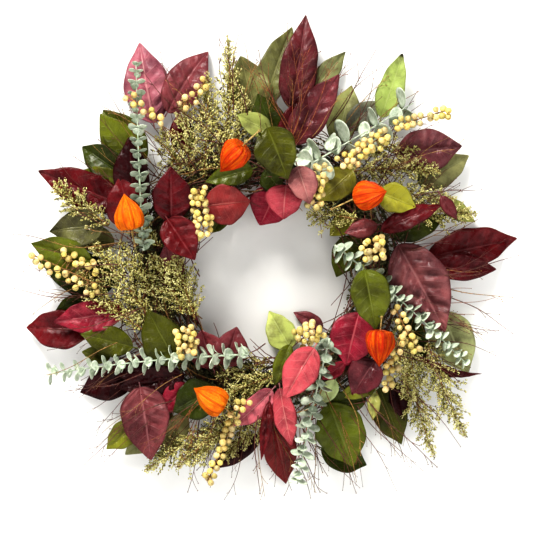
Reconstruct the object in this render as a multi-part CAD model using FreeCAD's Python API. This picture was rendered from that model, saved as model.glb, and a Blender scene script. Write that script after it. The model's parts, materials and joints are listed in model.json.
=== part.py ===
# Harvest door wreath: preserved leaves, eucalyptus, artemisia, canella berries and
# lantern pods, laid on a ring of vine canes that is bound to a two-rail wire frame.
#
# Millimetres: +X is right and +Z is up as the wreath hangs, and its face looks along
# -Y. The origin is the centre of the hanging loop, where the door's hook goes.
#
# The layout below is written in wreath terms: (x, z) from the centre of the ring, and a
# depth that grows from the door towards the viewer. Each piece of foliage is laid on what
# is already there, as a florist lays it, so the order of the calls is back to front.
import FreeCAD, Part
import math
import os
from FreeCAD import Matrix, Rotation, Vector

# --- Wire frame and vine ring ---
RAIL_WIRE = 1.5            # radius of the frame's wire
INNER_RAIL = 105.0         # radius of the inner rail, at the wire's centre
OUTER_RAIL = 150.0
RUNG_WIRE = 1.2
RUNG_COUNT = 8
BINDING_WIRE = 0.6
BINDING_COUNT = 18
BINDING_START = 15.0       # angle of the first wrap, in degrees
BINDING_ROOM = 1.0         # extra room between a wrap and what it goes round
BINDING_CORNER = 2.0       # radius of a wrap's corners
BINDING_SHOULDER = 4.0     # how far a wrap goes past the front canes before it turns down
CANE = 4.6                 # radius of one vine cane
CANE_GAP = 0.5
CANE_LENGTHS = 8           # lengths of vine laid end to end in each turn of the ring
CANE_ENDS = 0.8            # space between two lengths, in degrees
CANE_STAGGER = 17.0        # turn from one ring of cane to the next, in degrees
CANE_PITCH = 2 * CANE + 2 * CANE_GAP
CANE_STEP = 8.8            # from the back layer of canes to the front one, which beds into it
FIT_GAP = 0.4
RAIL_DEPTH = 2 * BINDING_WIRE + FIT_GAP + RAIL_WIRE
BACK_CANES = RAIL_DEPTH + RAIL_WIRE + FIT_GAP + CANE
FRONT_CANES = BACK_CANES + CANE_STEP
RING_TOP = FRONT_CANES + CANE + FIT_GAP + 2 * BINDING_WIRE

# --- Hanging loop ---
LOOP_WIRE = 1.1
LOOP_RADIUS = 12.0         # to the wire's centre
EYE_RADIUS = RAIL_WIRE + LOOP_WIRE + FIT_GAP
NECK = 1.9                 # radius of the twisted neck
LOOP_RISE = 22.0           # from the rail's centre up to the loop's centre
RING_DROP = OUTER_RAIL + LOOP_RISE
DOOR = RAIL_DEPTH          # the loop hangs in the plane of the rails, this far off the door
LOOP_ROOM = 18.0           # half width of the room kept behind the foliage for the loop
LOOP_ROOM_UP = 38.0

# --- Leaves ---
BLADE = 0.8                # thickness of a leaf
LEAF_BEND = 2.6            # radius of a leaf's droop, in leaf lengths
LEAF_SHIFT = 0.8           # below 1 the widest point moves towards the base
LEAF_ROUNDNESS = 0.75      # below 1 the sides bulge
LEAF_STATIONS = [0, 0.06, 0.2, 0.42, 0.65, 0.85, 0.96, 1]
PETIOLE = 0.8
PETIOLE_LENGTH = 6.0
PETIOLE_ROOT = 7.0         # how far the petiole runs on into the blade

# --- Artemisia and twigs ---
PLUME_STATIONS = [0, 0.1, 0.35, 0.65, 0.9, 1]
PLUME_TIP = 1.0            # the least radius that a plume is given room for
TWIG = 0.8
TWIG_COUNT = 26
TWIG_TURN = 14.0           # from one twig to the next round the ring, in degrees
TWIG_REACH = 62.0
TWIG_FOOT = 9.0            # how far outside the outer rail the twigs start

# --- Eucalyptus ---
SPRIG_STEM = 1.5
SPRIG_TIP = 0.8
DISC = 0.7                 # thickness of a round leaf
DISC_TILT = 32.0           # how far a round leaf leans along its stem, in degrees
DISC_SWING = 18.0          # turn of one pair of leaves from the plane of the sprig
DISC_REACH = 0.85          # from the stem to a leaf's centre, in leaf radii
TIP_SHRINK = 0.45          # how much smaller the last leaves are

# --- Canella berries ---
BERRY = 3.4
BERRY_STALK = 0.6
STEM = 0.7                 # radius of a berry stem
CLUSTER_SPREAD = 7.0       # a bunch this wide has rows of berries round its front
CLUSTER_ROWS = [0, 120, 60, 180]
ROUND_SPREAD = 8.5
ROUND_ROWS = [0, 90, 180, 45, 135]

# --- Lantern pods ---
POD_LENGTH = 43.0
POD_PROFILE = [(0.0, 0.07), (0.05, 0.21), (0.2, 0.35), (0.4, 0.38), (0.65, 0.28), (0.85, 0.13),
               (1.0, 0.012)]
POD_WALL = 0.6
POD_HOLLOW = 0.95          # length of the space inside, as a share of the pod's
POD_BERRY = 6.5
POD_BERRY_AT = 0.3
STALK = 0.9
ELBOW = 1.1                # where the stalk bends to go into the husk
STALK_ROOM = 2.0           # half the room that a stalk needs
KNUCKLE = 1.7              # the thick end of a stalk, on which the pod nods
PICK = 1.0
PICK_FOOT = 1.6            # from the binding's crown up to the end of a pick
POD_CLEARANCE = 7.0        # room behind a pod, which nods towards the door

# --- How the pile is measured ---
CELL = 2.0
SAMPLE_STEP = 0.9 * CELL
PILE_GAP = 0.7
TWIG_GAP = 1.0
DOOR_GAP = 2.0
RING_MARGIN = 7.0
SLIVER = 1e-6

FORWARD = Vector(0, -1, 0)
nodes = {}


def at(x, z, depth=0.0):
    """A point of the layout, in the part's own axes."""
    return Vector(x, DOOR - depth, z - RING_DROP)


def keep(node, shape):
    nodes.setdefault(node, []).append(shape)


def ring_point(angle, radius, depth):
    turn = math.radians(angle)
    return at(radius * math.sin(turn), radius * math.cos(turn), depth)


def stand_up(shape, origin, along, normal):
    """Moves a shape drawn along +X with its face to +Z, so that they follow along and normal."""
    across = normal.cross(along)
    place = Matrix(along.x, across.x, normal.x, origin.x,
                   along.y, across.y, normal.y, origin.y,
                   along.z, across.z, normal.z, origin.z,
                   0, 0, 0, 1)
    moved = shape.copy()
    moved.Placement = FreeCAD.Placement(place)
    return moved


def aim(start, end, lean=0.0, roll=0.0):
    """Length, direction and face normal of a piece that runs from start to end in plan."""
    run = Vector(end[0] - start[0], 0, end[1] - start[1])
    tilt = math.radians(lean)
    flat = Vector(run).normalize()
    along = flat * math.cos(tilt) + FORWARD * math.sin(tilt)
    normal = FORWARD * math.cos(tilt) - flat * math.sin(tilt)
    normal = Rotation(along, roll).multVec(normal)
    return run.Length / math.cos(tilt), along, normal


class Pile:
    """The depth that the wreath has reached, cell by cell."""

    def __init__(self):
        self.top = {}

    def raise_to(self, x, z, depth, reach=0):
        cx, cz = round(x / CELL), round(z / CELL)
        for i in range(cx - reach, cx + reach + 1):
            for k in range(cz - reach, cz + reach + 1):
                self.top[i, k] = max(self.top.get((i, k), 0.0), depth)

    def lift_for(self, samples, gap):
        """How far a piece has to come forward to clear everything under it."""
        lift = -1e9
        for x, z, low, _ in samples:
            under = self.top.get((round(x / CELL), round(z / CELL)), 0.0)
            lift = max(lift, under + gap - low, DOOR_GAP - low)
        return lift

    def lay(self, samples, gap=PILE_GAP):
        lift = self.lift_for(samples, gap)
        for x, z, _, high in samples:
            self.raise_to(x, z, lift + high, reach=1)
        return lift


pile = Pile()


def plan(point):
    """(x, z, depth) of a point, in the layout's terms."""
    return point.x, point.z + RING_DROP, DOOR - point.y


# --- Frame, canes, binding and hanging loop ---

def make_frame():
    centre = at(0, 0, RAIL_DEPTH)
    inner = Part.makeTorus(INNER_RAIL, RAIL_WIRE, centre, FORWARD)
    outer = Part.makeTorus(OUTER_RAIL, RAIL_WIRE, centre, FORWARD)
    keep("inner_rail", inner)
    keep("outer_rail", outer)
    for i in range(RUNG_COUNT):
        angle = (i + 0.5) * 360 / RUNG_COUNT
        start = ring_point(angle, INNER_RAIL, RAIL_DEPTH)
        end = ring_point(angle, OUTER_RAIL, RAIL_DEPTH)
        rung = Part.makeCylinder(RUNG_WIRE, start.distanceToPoint(end), start, end - start)
        keep("frame_rungs", rung.cut(inner).cut(outer))


def make_canes():
    middle = (INNER_RAIL + OUTER_RAIL) / 2
    back = [(middle + k * CANE_PITCH, BACK_CANES) for k in (-1, 0, 1)]
    front = [(middle + k * CANE_PITCH, FRONT_CANES) for k in (-0.5, 0.5)]
    sweep = 360 / CANE_LENGTHS
    for i, (radius, depth) in enumerate(back + front):
        for k in range(CANE_LENGTHS):
            length = Part.makeTorus(radius, CANE, at(0, 0, depth), FORWARD, 0, 360, sweep - CANE_ENDS)
            length.rotate(at(0, 0, depth), FORWARD, sweep * k + CANE_STAGGER * i)
            keep(f"vine_cane_{i + 1}", length)


def rounded_loop(corners, radius, wire_radius):
    """A closed loop of wire through the corners, each rounded by an arc."""
    edges, joints = [], []
    count = len(corners)
    for i, corner in enumerate(corners):
        before = (corners[i - 1] - corner).normalize()
        after = (corners[(i + 1) % count] - corner).normalize()
        half = before.getAngle(after) / 2
        inset = radius / math.tan(half)
        centre = corner + (before + after).normalize() * (radius / math.sin(half))
        middle = centre + (corner - centre).normalize() * radius
        joints.append((corner + before * inset, middle, corner + after * inset))
    for i, (first, middle, last) in enumerate(joints):
        edges.append(Part.Arc(first, middle, last).toShape())
        edges.append(Part.LineSegment(last, joints[(i + 1) % count][0]).toShape())
    path = Part.Wire(edges)
    start = joints[0][2]
    heading = joints[1][0] - start
    section = Part.Wire(Part.makeCircle(wire_radius, start, heading))
    return path.makePipeShell([section], True, True)


def make_binding():
    """The binding wire's wraps, round the canes and both rails."""
    slack = RAIL_WIRE + FIT_GAP + BINDING_WIRE + BINDING_ROOM
    crown = (INNER_RAIL + OUTER_RAIL) / 2
    half_crown = CANE_PITCH + BINDING_SHOULDER
    top = RING_TOP - BINDING_WIRE + BINDING_ROOM
    outline = [
        (INNER_RAIL - slack, BINDING_WIRE),
        (OUTER_RAIL + slack, BINDING_WIRE),
        (OUTER_RAIL + slack, BACK_CANES),
        (crown + half_crown, top),
        (crown - half_crown, top),
        (INNER_RAIL - slack, BACK_CANES),
    ]
    for i in range(BINDING_COUNT):
        angle = i * 360 / BINDING_COUNT + BINDING_START
        corners = [ring_point(angle, radius, depth) for radius, depth in outline]
        keep("binding_wire", rounded_loop(corners, BINDING_CORNER, BINDING_WIRE))


def make_hanging_loop():
    """One wire: an eye round the outer rail, a twisted neck and the loop for the hook."""
    rail_top = at(0, OUTER_RAIL, RAIL_DEPTH)
    eye = Part.makeTorus(EYE_RADIUS, LOOP_WIRE, rail_top, Vector(1, 0, 0))
    loop = Part.makeTorus(LOOP_RADIUS, LOOP_WIRE, Vector(0, 0, 0), FORWARD)
    foot = rail_top + Vector(0, 0, EYE_RADIUS)
    neck_length = LOOP_RISE - EYE_RADIUS - LOOP_RADIUS
    neck = Part.makeCylinder(NECK, neck_length, foot, Vector(0, 0, 1))
    left = rail_top - Vector(EYE_RADIUS, 0, 0)
    rail_room = Part.makeCylinder(RAIL_WIRE + FIT_GAP, 2 * EYE_RADIUS, left, Vector(1, 0, 0))
    keep("hanging_loop", eye.multiFuse([neck, loop]).cut(rail_room))


def start_pile():
    """The ring, and the room that the hanging loop needs behind the foliage."""
    reach = math.ceil((OUTER_RAIL + RING_MARGIN) / CELL)
    for i in range(-reach, reach + 1):
        for k in range(-reach, reach + 1):
            radius = math.hypot(i, k) * CELL
            if INNER_RAIL - RING_MARGIN < radius < OUTER_RAIL + RING_MARGIN:
                pile.raise_to(i * CELL, k * CELL, RING_TOP + BINDING_ROOM / 2)
    half = round(LOOP_ROOM / CELL)
    for i in range(-half, half + 1):
        for k in range(round(LOOP_ROOM_UP / CELL) + 1):
            pile.raise_to(i * CELL, OUTER_RAIL + k * CELL, RAIL_DEPTH + NECK + EYE_RADIUS)


# --- Leaves ---

def leaf_half_width(share):
    """Half width of a leaf, as a share of its greatest, at a share of its length."""
    swell = math.sin(math.pi * min(max(share, 0.0), 1.0) ** LEAF_SHIFT)
    return max(swell, 0.0) ** LEAF_ROUNDNESS


def leaf_solid(length, width, bend):
    """A leaf along +X, its face to +Z, arched along its length, with its petiole."""
    side = [Vector(t * length, leaf_half_width(t) * width / 2, 0) for t in LEAF_STATIONS]
    upper, lower = Part.BSplineCurve(), Part.BSplineCurve()
    upper.interpolate(side)
    lower.interpolate([Vector(p.x, -p.y, 0) for p in reversed(side)])
    outline = Part.Face(Part.Wire([upper.toShape(), lower.toShape()]))
    outline.translate(Vector(0, 0, -length / 2))
    prism = outline.extrude(Vector(0, 0, length))
    axis = Vector(length / 2, -width, arch(length, bend, length / 2) - bend)
    across = Vector(0, 1, 0)
    outer = Part.makeCylinder(bend + BLADE / 2, 2 * width, axis, across)
    inner = Part.makeCylinder(bend - BLADE / 2, 2 * width, axis, across)
    blade = prism.common(outer).cut(inner)
    slope = math.asin(length / 2 / bend)
    back = Vector(-math.cos(slope), 0, -math.sin(slope))
    petiole = Part.makeCylinder(PETIOLE, PETIOLE_LENGTH + PETIOLE_ROOT, back * -PETIOLE_ROOT, back)
    return blade.fuse(petiole)


def arch(length, bend, u):
    """How far a leaf's arch stands off the line from its base to its tip."""
    return math.sqrt(bend ** 2 - (u - length / 2) ** 2) - math.sqrt(bend ** 2 - (length / 2) ** 2)


def leaf_samples(base, length, width, bend, along, normal):
    across = normal.cross(along)
    slope = math.tan(math.asin(length / 2 / bend))
    found = []
    for i in range(int(-PETIOLE_LENGTH / SAMPLE_STEP) - 1, int(length / SAMPLE_STEP) + 2):
        u = min(i * SAMPLE_STEP, length)
        half = max(leaf_half_width(u / length) * width / 2, PETIOLE)
        height = arch(length, bend, u) if u > 0 else u * slope
        rows = max(1, math.ceil(half / SAMPLE_STEP))
        for k in range(-rows, rows + 1):
            point = base + along * u + across * (half * k / rows) + normal * height
            x, z, depth = plan(point)
            thick = BLADE * 0.75 if u > PETIOLE_ROOT else PETIOLE
            found.append((x, z, depth - thick, depth + thick))
    return found


def side_of(x, z):
    return ("upper" if z >= 0 else "lower") + ("_left" if x < 0 else "_right")


def leaf(kind, start, end, width, lean=0.0, roll=0.0):
    """Lays one leaf, from the base of its blade to its tip."""
    length, along, normal = aim(start, end, lean, roll)
    bend = length * LEAF_BEND
    base = at(*start)
    lift = pile.lay(leaf_samples(base, length, width, bend, along, normal))
    origin = base + FORWARD * lift
    x, z = (start[0] + end[0]) / 2, (start[1] + end[1]) / 2
    solid = stand_up(leaf_solid(length, width, bend), origin, along, normal)
    keep(f"{kind}_leaves_{side_of(x, z)}", solid)


# --- Artemisia plumes, twigs, eucalyptus and berries ---

def tube_samples(start, end, lean, half_depth, half_width):
    """Samples of a long piece whose half depth and half width vary with the share run."""
    length, along, normal = aim(start, end, lean)
    across = normal.cross(along)
    base = at(*start)
    steps = max(2, math.ceil(length / SAMPLE_STEP))
    found = []
    for i in range(steps + 1):
        share = i / steps
        wide, deep = half_width(share), half_depth(share)
        rows = max(1, math.ceil(wide / SAMPLE_STEP))
        for k in range(-rows, rows + 1):
            x, z, depth = plan(base + along * (length * share) + across * (wide * k / rows))
            round_off = math.sqrt(max(0.05, 1 - (k / rows) ** 2))
            found.append((x, z, depth - deep * round_off, depth + deep * round_off))
    return found


def steady(size):
    """A half depth or half width that stays the same along a piece."""
    return lambda _: size


def plume_swell(share):
    """A plume's radius, as a share of its greatest: fattest a third of the way along."""
    return math.sin(math.pi * share ** 0.7) ** 0.9 if 0 < share < 1 else 0.0


def plume(node, start, end, radius, lean=0.0):
    """One feathery artemisia plume, as the spindle that it fills."""
    length, along, normal = aim(start, end, lean)

    def swell(share):
        return max(radius * plume_swell(share), PLUME_TIP)

    lift = pile.lay(tube_samples(start, end, lean, swell, swell))
    profile = [Vector(length * t, radius * plume_swell(t), 0) for t in PLUME_STATIONS]
    curve = Part.BSplineCurve()
    curve.interpolate(profile)
    closing = Part.LineSegment(profile[-1], profile[0]).toShape()
    face = Part.Face(Part.Wire([curve.toShape(), closing]))
    spindle = face.revolve(Vector(0, 0, 0), Vector(1, 0, 0), 360)
    keep(f"artemisia_{node}", stand_up(spindle, at(*start) + FORWARD * lift, along, normal))


def twig(angle, reach, heading=0.0, lean=2.0):
    """A fine dark twig that stands out from behind the ring's outer edge."""
    turn = math.radians(angle)
    foot = OUTER_RAIL + TWIG_FOOT
    start = (foot * math.sin(turn), foot * math.cos(turn))
    out = math.radians(angle + heading)
    end = (start[0] + reach * math.sin(out), start[1] + reach * math.cos(out))
    length, along, normal = aim(start, end, lean)
    lift = pile.lay(tube_samples(start, end, lean, steady(TWIG), steady(TWIG)), gap=TWIG_GAP)
    rod = Part.makeCone(TWIG, TWIG / 2, length, Vector(0, 0, 0), Vector(1, 0, 0))
    keep("fine_twigs", stand_up(rod, at(*start) + FORWARD * lift, along, normal))


def eucalyptus(node, start, end, lean=0.0, leaf_radius=7.0, spacing=8.5):
    """A stem with crossed pairs of round leaves that shrink towards the tip."""
    length, along, normal = aim(start, end, lean)

    def size(share):
        return leaf_radius * (1 - TIP_SHRINK * share)

    def depth(share):
        return 0.95 * size(share)

    def width(share):
        return 1.8 * size(share)

    lift = pile.lay(tube_samples(start, end, lean, depth, width))
    stem = Part.makeCone(SPRIG_STEM, SPRIG_TIP, length, Vector(0, 0, 0), Vector(1, 0, 0))
    blades = []
    pairs = int(length / spacing)
    for i in range(pairs):
        share = (i + 0.6) / pairs
        radius = size(share)
        swing = DISC_SWING if i % 2 else -DISC_SWING
        for turn in (swing, 180 + swing):
            disc = Part.makeCylinder(radius, DISC, Vector(0, 0, -DISC / 2), Vector(0, 0, 1))
            disc.rotate(Vector(0, 0, 0), Vector(0, 1, 0), DISC_TILT)
            disc.translate(Vector(0, radius * DISC_REACH, 0))
            disc.rotate(Vector(0, 0, 0), Vector(1, 0, 0), turn)
            disc.translate(Vector(share * length, 0, 0))
            blades.append(disc)
    sprig = stem.multiFuse(blades)
    keep(f"eucalyptus_{node}", stand_up(sprig, at(*start) + FORWARD * lift, along, normal))


def berry_offset(i, spread):
    """A berry's place across its stem: two rows, or in a cluster four or five round its front."""
    if spread > CLUSTER_SPREAD:
        rows = ROUND_ROWS if spread > ROUND_SPREAD else CLUSTER_ROWS
        turn = math.radians(rows[i % len(rows)])
        return Vector(0, spread * math.cos(turn), spread * math.sin(turn))
    row = -1 if i % 2 else 1
    return Vector(0, row * spread, spread * 0.1 * (i % 3))


def ball_samples(centre, radius):
    x, z, depth = plan(centre)
    found = []
    for share, count in ((0, 1), (0.6, 6), (0.95, 10)):
        rise = radius * math.sqrt(1 - share ** 2)
        for k in range(count):
            turn = 2 * math.pi * k / count
            aside, up = radius * share * math.cos(turn), radius * share * math.sin(turn)
            found.append((x + aside, z + up, depth - rise, depth + rise))
    return found


def berries(node, start, end, count, spread, lean=0.0):
    """A stem of canella berries, each on its own short stalk."""
    length, along, normal = aim(start, end, lean)
    across = normal.cross(along)
    base = at(*start)
    samples = tube_samples(start, end, lean, steady(STEM), steady(STEM))
    pieces = []
    for i in range(count):
        foot = Vector(length * (i + 0.5) / count, 0, 0)
        off = berry_offset(i, spread)
        pieces.append(Part.makeSphere(BERRY, foot + off, off))
        pieces.append(Part.makeCylinder(BERRY_STALK, off.Length, foot, off))
        samples += ball_samples(base + along * foot.x + across * off.y + normal * off.z, BERRY)
    lift = pile.lay(samples)
    bunch = Part.makeCylinder(STEM, length, Vector(0, 0, 0), Vector(1, 0, 0)).multiFuse(pieces)
    keep(f"canella_{node}", stand_up(bunch, base + FORWARD * lift, along, normal))


# --- Lantern pods ---

lanterns = []


def pod_radius(share):
    """The husk's radius at a share of its length, between the profile's points."""
    for (s0, r0), (s1, r1) in zip(POD_PROFILE, POD_PROFILE[1:]):
        if share <= s1:
            return (r0 + (r1 - r0) * (share - s0) / (s1 - s0)) * POD_LENGTH
    return POD_PROFILE[-1][1] * POD_LENGTH


def husk_solid():
    """A thin papery lantern along +X, open where the stalk goes in and closed at its tip."""
    def revolved(length, widest):
        fattest = max(radius for _, radius in POD_PROFILE)
        points = [Vector(share * length, radius / fattest * widest, 0) for share, radius in POD_PROFILE]
        curve = Part.BSplineCurve()
        curve.interpolate(points)
        first, last = points[0], points[-1]
        edges = [
            curve.toShape(),
            Part.LineSegment(last, Vector(last.x, 0, 0)).toShape(),
            Part.LineSegment(Vector(last.x, 0, 0), Vector(first.x, 0, 0)).toShape(),
            Part.LineSegment(Vector(first.x, 0, 0), first).toShape(),
        ]
        return Part.Face(Part.Wire(edges)).revolve(Vector(0, 0, 0), Vector(1, 0, 0), 360)

    widest = max(radius for _, radius in POD_PROFILE) * POD_LENGTH
    return revolved(POD_LENGTH, widest).cut(revolved(POD_LENGTH * POD_HOLLOW, widest - POD_WALL))


def lantern(number, pivot, neck, tip, lean=0.0):
    """A pod on its stalk: pivot is where the stalk is wired in, neck where the husk starts."""
    run = Vector(tip[0] - neck[0], 0, tip[1] - neck[1]).normalize() * POD_LENGTH
    run = run * math.cos(math.radians(lean))
    end = (neck[0] + run.x, neck[1] + run.z)
    _, direction, normal = aim(neck, end, lean)

    def depth(share):
        return pod_radius(share) / math.cos(math.radians(lean))

    room = steady(STALK_ROOM)
    samples = tube_samples(neck, end, lean, depth, pod_radius) + tube_samples(pivot, neck, 0, room, room)
    lift = pile.lay(samples, gap=POD_CLEARANCE)
    origin = at(*neck) + FORWARD * lift
    hinge = at(*pivot) + FORWARD * lift
    keep(f"lantern_{number}_husk", stand_up(husk_solid(), origin, direction, normal))
    inside = POD_LENGTH * POD_BERRY_AT
    knuckle = Part.makeSphere(KNUCKLE, hinge, origin - hinge)
    outer_part = Part.makeCylinder(STALK, hinge.distanceToPoint(origin), hinge, origin - hinge)
    elbow = Part.makeSphere(ELBOW, origin, direction)
    inner_part = Part.makeCylinder(STALK, inside, origin, direction)
    berry = Part.makeSphere(POD_BERRY, origin + direction * inside, direction)
    stalk = knuckle.multiFuse([outer_part, elbow, inner_part, berry])
    keep(f"lantern_{number}_stalk", stalk)
    lanterns.append((number, hinge, run.normalize()))


def make_picks():
    """Each pod's wire pick, from the canes to just behind its hinge, pierces what it crosses."""
    for _, hinge, _ in lanterns:
        x, z, depth = plan(hinge)
        middle = (INNER_RAIL + OUTER_RAIL) / 2
        radius = math.hypot(x, z)
        foot = at(x * middle / radius, z * middle / radius, RING_TOP + PICK_FOOT)
        head = hinge - FORWARD * (KNUCKLE + FIT_GAP + PICK)
        run = head - foot
        pick = Part.makeCylinder(PICK, run.Length, foot, run)
        back = foot - Vector(run).normalize() * PICK
        hole = Part.makeCylinder(PICK + FIT_GAP, run.Length + 2 * PICK, back, run)
        keep("lantern_picks", pick)
        for name, shapes in nodes.items():
            if not name.startswith(("lantern", "vine", "binding", "inner", "outer", "frame", "hanging")):
                for i, shape in enumerate(shapes):
                    if shape.BoundBox.intersect(hole.BoundBox) and shape.common(hole).Volume > SLIVER:
                        shapes[i] = largest(shape.cut(hole))


def largest(shape):
    """The largest solid of a shape: what a pick cuts off a leaf's edge is dropped."""
    return max(shape.Solids, key=lambda s: s.Volume)


# --- The layout, back to front ---

def lay_twigs():
    """Twigs of uneven length all round, but for the place where the hanging loop stands."""
    for i in range(TWIG_COUNT):
        angle = i * TWIG_TURN
        reach = TWIG_REACH + 22 * math.sin(2.3 * i)
        if abs((angle + 180) % 360 - 180) > 10:
            twig(angle, reach, heading=14 * math.sin(4.1 * i), lean=1 + 2 * math.cos(1.7 * i))


def lay_back_leaves():
    """The lowest leaves, which lean back towards the door."""
    leaf("green", (-3, 190), (26, 284), 38, lean=-8)
    leaf("pale", (52, 206), (88, 254), 26, lean=-6)
    leaf("burgundy", (28, 188), (45, 296), 43, lean=-3, roll=8)
    leaf("pale", (-12, 182), (-30, 246), 50, lean=-7)
    leaf("pale", (78, 150), (99, 216), 36, lean=-8)
    leaf("pale", (92, 165), (128, 199), 30, lean=-8)
    leaf("pale", (130, 178), (158, 248), 31, lean=-3, roll=-20)
    leaf("rose", (-128, 172), (-148, 264), 52, lean=-5, roll=6)
    leaf("burgundy", (-112, 184), (-66, 255), 46, lean=-3, roll=-8)
    leaf("burgundy", (-92, 140), (-98, 184), 28, lean=-4)
    leaf("green", (-138, 128), (-184, 188), 44, lean=-8)
    leaf("green", (-148, 122), (-187, 182), 42, lean=-3, roll=-10)
    leaf("green", (-160, 112), (-211, 144), 36, lean=-7)
    leaf("green", (-158, 92), (-213, 117), 34, lean=-6)
    leaf("burgundy", (-160, 78), (-258, 112), 43, lean=-3, roll=8)
    leaf("pale", (-172, 36), (-222, 46), 32, lean=-8)
    leaf("green", (-183, 55), (-245, 52), 42, lean=-6)
    leaf("green", (-172, -10), (-262, 13), 52, lean=-7)
    leaf("green", (-196, 16), (-264, 35), 38, lean=-2, roll=-8)
    leaf("green", (-205, -26), (-241, -42), 20, lean=-4)
    leaf("burgundy", (-200, -62), (-273, -61), 44, lean=-6)
    leaf("rose", (-160, -40), (-238, -57), 38, lean=-1, roll=10)
    leaf("burgundy", (-150, -112), (-212, -134), 40, lean=-6)
    leaf("burgundy", (-104, -106), (-178, -104), 32, lean=-8)
    leaf("burgundy", (-92, -112), (-166, -128), 34, lean=-5)
    leaf("pale", (-108, -155), (-158, -206), 38, lean=-7)
    leaf("pale", (-92, -158), (-120, -204), 28, lean=-6)
    leaf("green", (-145, -165), (-180, -199), 30, lean=-5)
    leaf("rose", (-88, -123), (-122, -156), 28, lean=-2)
    leaf("burgundy", (-8, -182), (-62, -222), 24, lean=-7)
    leaf("burgundy", (8, -168), (25, -238), 38, lean=-6, roll=-6)
    leaf("green", (62, -196), (114, -217), 36, lean=-8)
    leaf("green", (128, -128), (155, -193), 40, lean=-6)
    leaf("burgundy", (146, -122), (157, -165), 24, lean=-3)
    leaf("pale", (200, -42), (225, -113), 50, lean=-5)
    leaf("green", (155, -42), (182, -98), 26, lean=-6)
    leaf("burgundy", (168, -92), (243, -116), 14, lean=-3, roll=40)
    leaf("burgundy", (182, 20), (286, 43), 46, lean=-5, roll=4)
    leaf("burgundy", (188, 8), (260, 4), 30, lean=1, roll=-8)
    leaf("green", (195, 84), (238, 61), 22, lean=-6)
    leaf("green", (138, 46), (204, 66), 32, lean=-6)
    leaf("pale", (172, 104), (231, 133), 36, lean=-6)
    leaf("burgundy", (146, 136), (220, 149), 50, lean=-4, roll=6)
    leaf("green", (98, 44), (80, -3), 34, lean=-7)
    leaf("green", (96, 68), (71, 44), 24, lean=-6)
    leaf("pale", (28, -84), (1, -42), 34, lean=-5)
    leaf("burgundy", (64, -60), (31, -42), 18, lean=-4)
    leaf("burgundy", (-96, -14), (-75, -61), 16, lean=-4, roll=35)
    leaf("burgundy", (-100, -22), (-114, 38), 30, lean=-4)
    leaf("green", (-48, 70), (-62, 48), 20, lean=-5)
    leaf("rose", (12, 96), (-6, 56), 48, lean=-7, roll=6)
    leaf("green", (-2, 118), (17, 95), 30, lean=-4)


def lay_plumes():
    plume("upper_left", (-100, 98), (-118, 165), 4.5, lean=3)
    plume("upper_left", (-86, 104), (-94, 196), 5, lean=5)
    plume("upper_left", (-71, 108), (-66, 228), 5, lean=3)
    plume("upper_left", (-56, 112), (-44, 270), 5, lean=-1)
    plume("upper_left", (-41, 116), (-23, 200), 4.5, lean=3)
    plume("left", (-94, -44), (-130, 24), 5, lean=4)
    plume("left", (-108, -52), (-164, 38), 5, lean=4)
    plume("left", (-126, -56), (-200, 40), 5, lean=2)
    plume("left", (-80, -50), (-102, 22), 4.5, lean=4)
    plume("left", (-138, -62), (-214, 8), 4.5, lean=1)
    plume("left", (-118, 32), (-160, 72), 4.5, lean=4)
    plume("left", (-176, 56), (-238, 104), 4, lean=2)
    plume("right_upper", (84, 138), (172, 142), 5, lean=2)
    plume("right_upper", (92, 116), (196, 116), 5, lean=2)
    plume("right_upper", (122, 98), (212, 86), 5, lean=2)
    plume("right_upper", (150, 74), (236, 68), 4, lean=2)
    plume("right_lower", (146, -46), (160, -142), 5, lean=2)
    plume("right_lower", (162, -62), (188, -205), 5, lean=-1)
    plume("right_lower", (180, -74), (224, -182), 4, lean=-2)
    plume("bottom", (4, -98), (-56, -114), 4.5, lean=1)
    plume("bottom", (-14, -124), (-76, -202), 5, lean=-2)
    plume("bottom", (0, -146), (-50, -208), 4.5, lean=-3)
    plume("bottom", (-62, -172), (-138, -220), 4, lean=-4)
    plume("bottom", (12, -112), (-46, -136), 4.5, lean=1)
    plume("bottom", (-34, -166), (-102, -216), 4.5, lean=-4)
    plume("inner_right", (102, 62), (46, 66), 4.5, lean=-2)


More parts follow.
